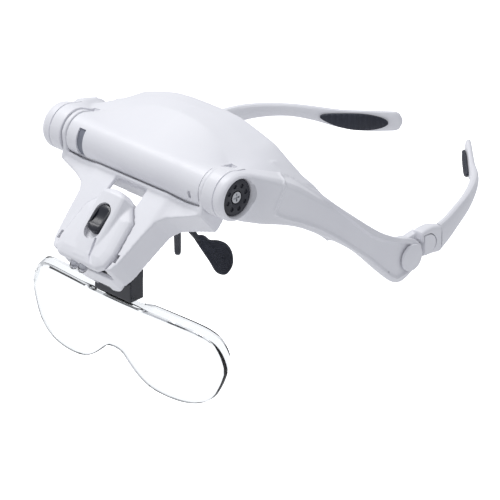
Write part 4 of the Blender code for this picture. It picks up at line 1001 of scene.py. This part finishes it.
# %% Bracket and legs of the nose rest
rise = -10.6
plate = [
    (3.0, rise + 0.45), (20.0, rise + 4.4), (20.0, rise + 2.4), (16.5, rise - 3.0), (12.0, rise - 2.2),
    (3.0, rise - 1.4)
]
volumes = [slab(plate, x_last, -7.0, 7.0)]
for side in (1, -1):
    leg = [
        (side * 4.0, 15.0, rise + 0.5, 2.6), (side * 4.2, 17.5, -26.0, 2.2), (side * 4.6, 20.5, -38.0, 2.0)
    ]
    leg.append((*pad_point(side, -6.2, 9.0, 0.0), 1.5))
    volumes.append(loft([[(x + r * c, y + r * d, z) for c, d in round_trip(20)] for x, y, z, r in leg]))
bracket = moulded("nose_bracket", volumes, grain=0.42, soften=4)
dress(bracket, BLACK, "black_plastic", "visor", "nose_bracket", sharp=45.0)

# %% [markdown]
# ## The temples
#
# Each temple is a tapering moulding with a soft crease along its middle, so its upper half looks lighter
# than its lower half. A ridged rubber pad lies on the inner face near the tip, and a link with a D-shaped
# release button joins the temple to the side arm's round end.

# %% Temple curve and arms
TEMPLE_WAY = (
    (78.6, 104.6), (77.6, 114.0), (72.6, 129.0), (64.6, 143.0), (54.4, 156.0), (43.0, 167.0), (32.0, 178.0),
    (21.0, 189.0),
)
TEMPLE_Z = -46.2


def on_way(share):
    """The point and the direction at a share of the temple's curve."""
    way = [Vector(point) for point in TEMPLE_WAY]
    ends = [way[0] * 2 - way[1], *way, way[-1] * 2 - way[-2]]
    t = share * (len(way) - 1)
    k = min(int(t), len(way) - 2)
    u = t - k
    a, b, c, d = ends[k : k + 4]
    ahead = 0.5 * ((c - a) + 2 * (2 * a - 5 * b + 4 * c - d) * u + 3 * (3 * b - a - 3 * c + d) * u**2)
    return on_curve(a, b, c, d, u), ahead.normalized()


# Along the temple: how high its middle rises, and how tall it is.
TEMPLE_RISE = (
    (0.0, 0.0, 13.4), (0.1, 2.4, 11.8), (0.2, 5.2, 10.0), (0.3, 6.8, 8.3), (0.4, 7.0, 7.0),
    (0.5, 6.2, 6.4), (0.6, 4.2, 7.3), (0.73, 1.3, 9.5), (0.85, 0.2, 10.6), (1.0, 0.0, 9.8),
)


def temple_size(share):
    return between(TEMPLE_RISE, share)[1], 5.2 - 1.8 * share


def swept(side, at, ahead, outline, rise=0.0):
    normal = Vector((ahead.y, -ahead.x))
    return [(side * (at + normal * u).x, (at + normal * u).y, TEMPLE_Z + rise + v) for u, v in outline]


def temple_outline(height, thick):
    quarter = [(0.5, 0.04), (0.47, 0.2), (0.40, 0.36), (0.26, 0.46), (0.08, 0.5)]
    ring = [(u * thick, v * height) for u, v in quarter]
    ring += [(-u, v) for u, v in reversed(ring)]
    return ring + [(-u, -v) for u, v in ring]


ARM_RINGS, PAD_RINGS = 72, 96
for side, name in ((1, "left"), (-1, "right")):
    rings = []
    for i in range(ARM_RINGS + 1):
        share = i / ARM_RINGS
        height, thick = temple_size(share)
        end = math.sqrt(max(1 - max((share - 0.965) / 0.036, 0.0) ** 2, 0.02))
        at, ahead = on_way(share)
        outline = temple_outline(height * end, thick * end)
        rings.append(swept(side, at, ahead, outline, between(TEMPLE_RISE, share)[0]))
    temple = to_object(f"temple_arm_{name}", loft(rings))
    dress(temple, WHITE, "white_plastic", f"temple_{name}", f"temple_arm_{name}", sharp=24.0)
    rings = []
    for i in range(PAD_RINGS + 1):
        share = 0.635 + 0.30 * i / PAD_RINGS
        height, thick = temple_size(share)
        swell = math.sqrt(max(1 - (2 * i / PAD_RINGS - 1) ** 2, 0.015))
        ridge = 0.22 * math.sin(math.pi * i / 4) if 8 < i < PAD_RINGS - 8 else 0.0
        at, ahead = on_way(share)
        middle = -thick / 2 - 0.3
        half = height * 0.43 * swell
        outline = [(middle, half), (middle - 0.7, half * 0.94)]
        outline += [(middle - 1.05 - ridge, half * 0.8), (middle - 1.15 - ridge, 0.0)]
        outline += [(u, -v) for u, v in reversed(outline[:-1])]
        outline += [(middle + 0.25, -half * 0.7), (middle + 0.25, half * 0.7)]
        rings.append(swept(side, at, ahead, outline, between(TEMPLE_RISE, share)[0]))
    pad = to_object(f"temple_pad_{name}", loft(rings))
    dress(pad, RUBBER, "black_rubber", f"temple_{name}", f"temple_pad_{name}", sharp=50.0)

# %% [markdown]
# The link is a round ear that lies against the inside of the side arm, melted into a neck that fairs into
# the temple. A turned cap pins the ear to the arm. The D-shaped button sits in a pocket of the link, and
# pressing it frees the temple, so a headband can take its place.

# %% Links, caps and buttons
END_FACE = arm_face(CAP_Y)
ARM_END_THICK, RUNNING = 4.4, 0.6
INNER = END_FACE - ARM_END_THICK - RUNNING
BUTTON_Y, BUTTON_Z, BUTTON_RADIUS = 98.2, -47.0, 4.8


def rounded(half_u, half_v, soft):
    ring = []
    for turn, (su, sv) in enumerate(((1, 1), (-1, 1), (-1, -1), (1, -1))):
        ring += arc(su * (half_u - soft), sv * (half_v - soft), soft, 90 * turn, 90 * turn + 90, 4)
    return ring


def button_outline(grow):
    edge, high = BUTTON_Y - 3.7 - grow, BUTTON_RADIUS + grow
    flat = [(edge, BUTTON_Z - high), (edge, BUTTON_Z + high)]
    return flat + arc(BUTTON_Y - 1.1, BUTTON_Z, high, 90, -90, 24)


def bore(side, low, high, radius, steps):
    """A cutting tool on the pivot's axis, from low to high along X."""
    profile = [(low, 0.0), (low, radius), (high, radius), (high, 0.0)]
    return turned([(side * x, r) for x, r in profile], (CAP_Y, CAP_Z), steps)


for side, name in ((1, "left"), (-1, "right")):
    ear = arc(CAP_Y, CAP_Z, 7.4, 60, 300, 30) + [(96.0, CAP_Z - 5.6), (96.0, CAP_Z + 7.6)]
    at, ahead = on_way(0.0)
    rings = []
    for y, deep, grow in ((93.4, 6.4, -2.4), (96.0, 6.6, -1.2), (101.0, 6.2, -0.6)):
        middle = Vector((END_FACE - 0.4 - deep / 2, y))
        rings.append(swept(side, middle, Vector((0, 1)), rounded(deep / 2, 7.1 + grow / 2, 1.6)))
    rings.append(swept(side, at - ahead * 0.3, ahead, rounded(2.6, 6.7, 2.2)))
    volumes = [slab(ear, x_last, side * (INNER - 4.0), side * INNER), loft(rings)]
    link = moulded(f"temple_link_{name}", volumes, grain=0.4, soften=6)
    carve(link, bore(side, INNER, END_FACE + 4, 9.7, 72), bore(side, INNER - 9, INNER + 2, 2.9, 36))
    carve(link, slab(button_outline(0.4), x_last, side * (END_FACE - 5.8), side * (END_FACE + 6)))
    dress(link, WHITE, "white_plastic", f"temple_{name}", f"temple_link_{name}", sharp=40.0)
    push = slab(button_outline(0.0), x_last, side * (END_FACE - 3.2), side * (END_FACE + 0.1))
    button = to_object(f"release_button_{name}", push)
    dress(button, WHITE, "white_plastic", f"button_{name}", f"release_button_{name}", sharp=40.0, bevel=0.4)
    profile = [(INNER - 5.2, 0.0), (INNER - 5.2, 4.2), (INNER - 4.3, 4.2), (INNER - 4.3, 2.5)]
    profile += [
        (END_FACE + 0.3, 2.5), (END_FACE + 0.3, 6.3), (END_FACE + 0.5, 6.4), (END_FACE + 1.1, 6.4),
        (END_FACE + 1.45, 6.2), (END_FACE + 1.6, 5.7), (END_FACE + 1.6, 0.0)
    ]
    cap = to_object(f"pivot_cap_{name}", turned([(side * x, r) for x, r in profile], (CAP_Y, CAP_Z), 72))
    dress(cap, WHITE, "white_plastic", "visor", f"pivot_cap_{name}", sharp=30.0)

# %% [markdown]
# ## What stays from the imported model
#
# The battery room, the screws, springs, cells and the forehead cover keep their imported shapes. They still
# need real finishes, chosen by what each piece is made of.

# %% Finishes for the carried-over pieces
CELL_WRAP = moulded_finish("cell_wrap_print", (0.05, 0.16, 0.08), (0.04, 0.13, 0.07), 0.2, 0.35, 0.4, 0.05)
BOARD = moulded_finish("board_mask", (0.02, 0.14, 0.06), (0.02, 0.12, 0.05), 0.3, 0.45, 0.2, 0.2)
FINISHES = {
    "white_plastic": WHITE, "black_plastic": BLACK, "black_rubber": RUBBER, "grey_plastic": GREY,
    "steel": STEEL, "clear_acrylic": CLEAR, "cell_wrap": CELL_WRAP, "circuit_board": BOARD,
}

for name, node in frame["nodes"].items():
    for slot in node.material_slots:
        slot.material = FINISHES[slot.material.name.split(".")[0]]
print("finished", len(frame["nodes"]), "packed pieces")

# %% [markdown]
# ## The first look: camera, light and floor
#
# The camera stands well back with a long lens, turned 45 degrees from the front and looking down a little,
# so that the front, one side and the top all show.

# %% Camera
CAMERA_TURN, CAMERA_RISE = math.radians(45.0), math.radians(25.67)
right = Vector((math.cos(CAMERA_TURN), math.sin(CAMERA_TURN), 0.0))
level = Vector((-math.sin(CAMERA_TURN), math.cos(CAMERA_TURN), 0.0))
forward = level * math.cos(CAMERA_RISE) - Vector((0.0, 0.0, math.sin(CAMERA_RISE)))
upward = right.cross(forward)
camera_data = bpy.data.cameras.new("studio_camera")
camera_data.lens = 252.0
camera_data.sensor_width = 36.0
camera_data.clip_end = 20.0
camera = bpy.data.objects.new("studio_camera", camera_data)
bpy.context.scene.collection.objects.link(camera)
CAMERA_ASIDE, CAMERA_DROP, CAMERA_AWAY = 45.2, 39.5, 1534.0
stand = HINGE + (CAMERA_ASIDE * right - CAMERA_DROP * upward - CAMERA_AWAY * forward) * MM
camera.matrix_world = Matrix.Translation(stand) @ Matrix((right, upward, -forward)).transposed().to_4x4()
bpy.context.scene.camera = camera
print("camera at", [round(value, 3) for value in stand])

# %% [markdown]
# The light is a bright even studio: a pale world and one wide soft disk overhead, so that white plastic
# still shows its shape. What the camera sees past the piece is plain white. The floor glows for the camera,
# and weakly for rays that come through the lens, so the acrylic does not look black.

# %% Lights and floor
world = bpy.data.worlds.new("studio")
world.use_nodes = True
world_nodes, world_links = world.node_tree.nodes, world.node_tree.links
sky = world_nodes["Background"]
sky.inputs["Color"].default_value = (0.93, 0.95, 1.0, 1.0)
brightness = world_nodes.new("ShaderNodeMath")
brightness.operation = "ADD"
brightness.inputs[1].default_value = 0.58
to_camera = world_nodes.new("ShaderNodeLightPath")
world_links.new(to_camera.outputs["Is Camera Ray"], brightness.inputs[0])
world_links.new(brightness.outputs["Value"], sky.inputs["Strength"])
bpy.context.scene.world = world

light = bpy.data.lights.new("overhead", "AREA")
light.shape = "DISK"
light.size = 0.6
light.energy = 5.7
lamp = bpy.data.objects.new("overhead", light)
bpy.context.scene.collection.objects.link(lamp)
lamp.location = (-0.45, -0.15, 0.95)
lamp.rotation_euler = (Vector((0, 0, 0.06)) - lamp.location).to_track_quat("-Z", "Y").to_euler()

floor_mesh = bpy.data.meshes.new("floor")
floor_bm = bmesh.new()
bmesh.ops.create_grid(floor_bm, x_segments=1, y_segments=1, size=6.0)
bmesh.ops.translate(floor_bm, vec=(0, 0, -0.16), verts=floor_bm.verts)
floor_bm.to_mesh(floor_mesh)
floor_bm.free()
floor = bpy.data.objects.new("floor", floor_mesh)
bpy.context.scene.collection.objects.link(floor)
pale = bpy.data.materials.new("pale_floor")
pale.use_nodes = True
pale_nodes, pale_links = pale.node_tree.nodes, pale.node_tree.links
surface = pale_nodes["Principled BSDF"]
surface.inputs["Base Color"].default_value = (0.95, 0.95, 0.955, 1.0)
surface.inputs["Roughness"].default_value = 0.9
surface.inputs["Emission Color"].default_value = (1.0, 1.0, 1.0, 1.0)
seen = pale_nodes.new("ShaderNodeLightPath")
glow = pale_nodes.new("ShaderNodeMath")
glow.operation = "MULTIPLY_ADD"
glow.inputs[1].default_value = 0.22
pale_links.new(seen.outputs["Is Transmission Ray"], glow.inputs[0])
pale_links.new(seen.outputs["Is Camera Ray"], glow.inputs[2])
pale_links.new(glow.outputs["Value"], surface.inputs["Emission Strength"])
floor_mesh.materials.append(pale)
bpy.context.scene.view_settings.view_transform = "Standard"
print("stage set")
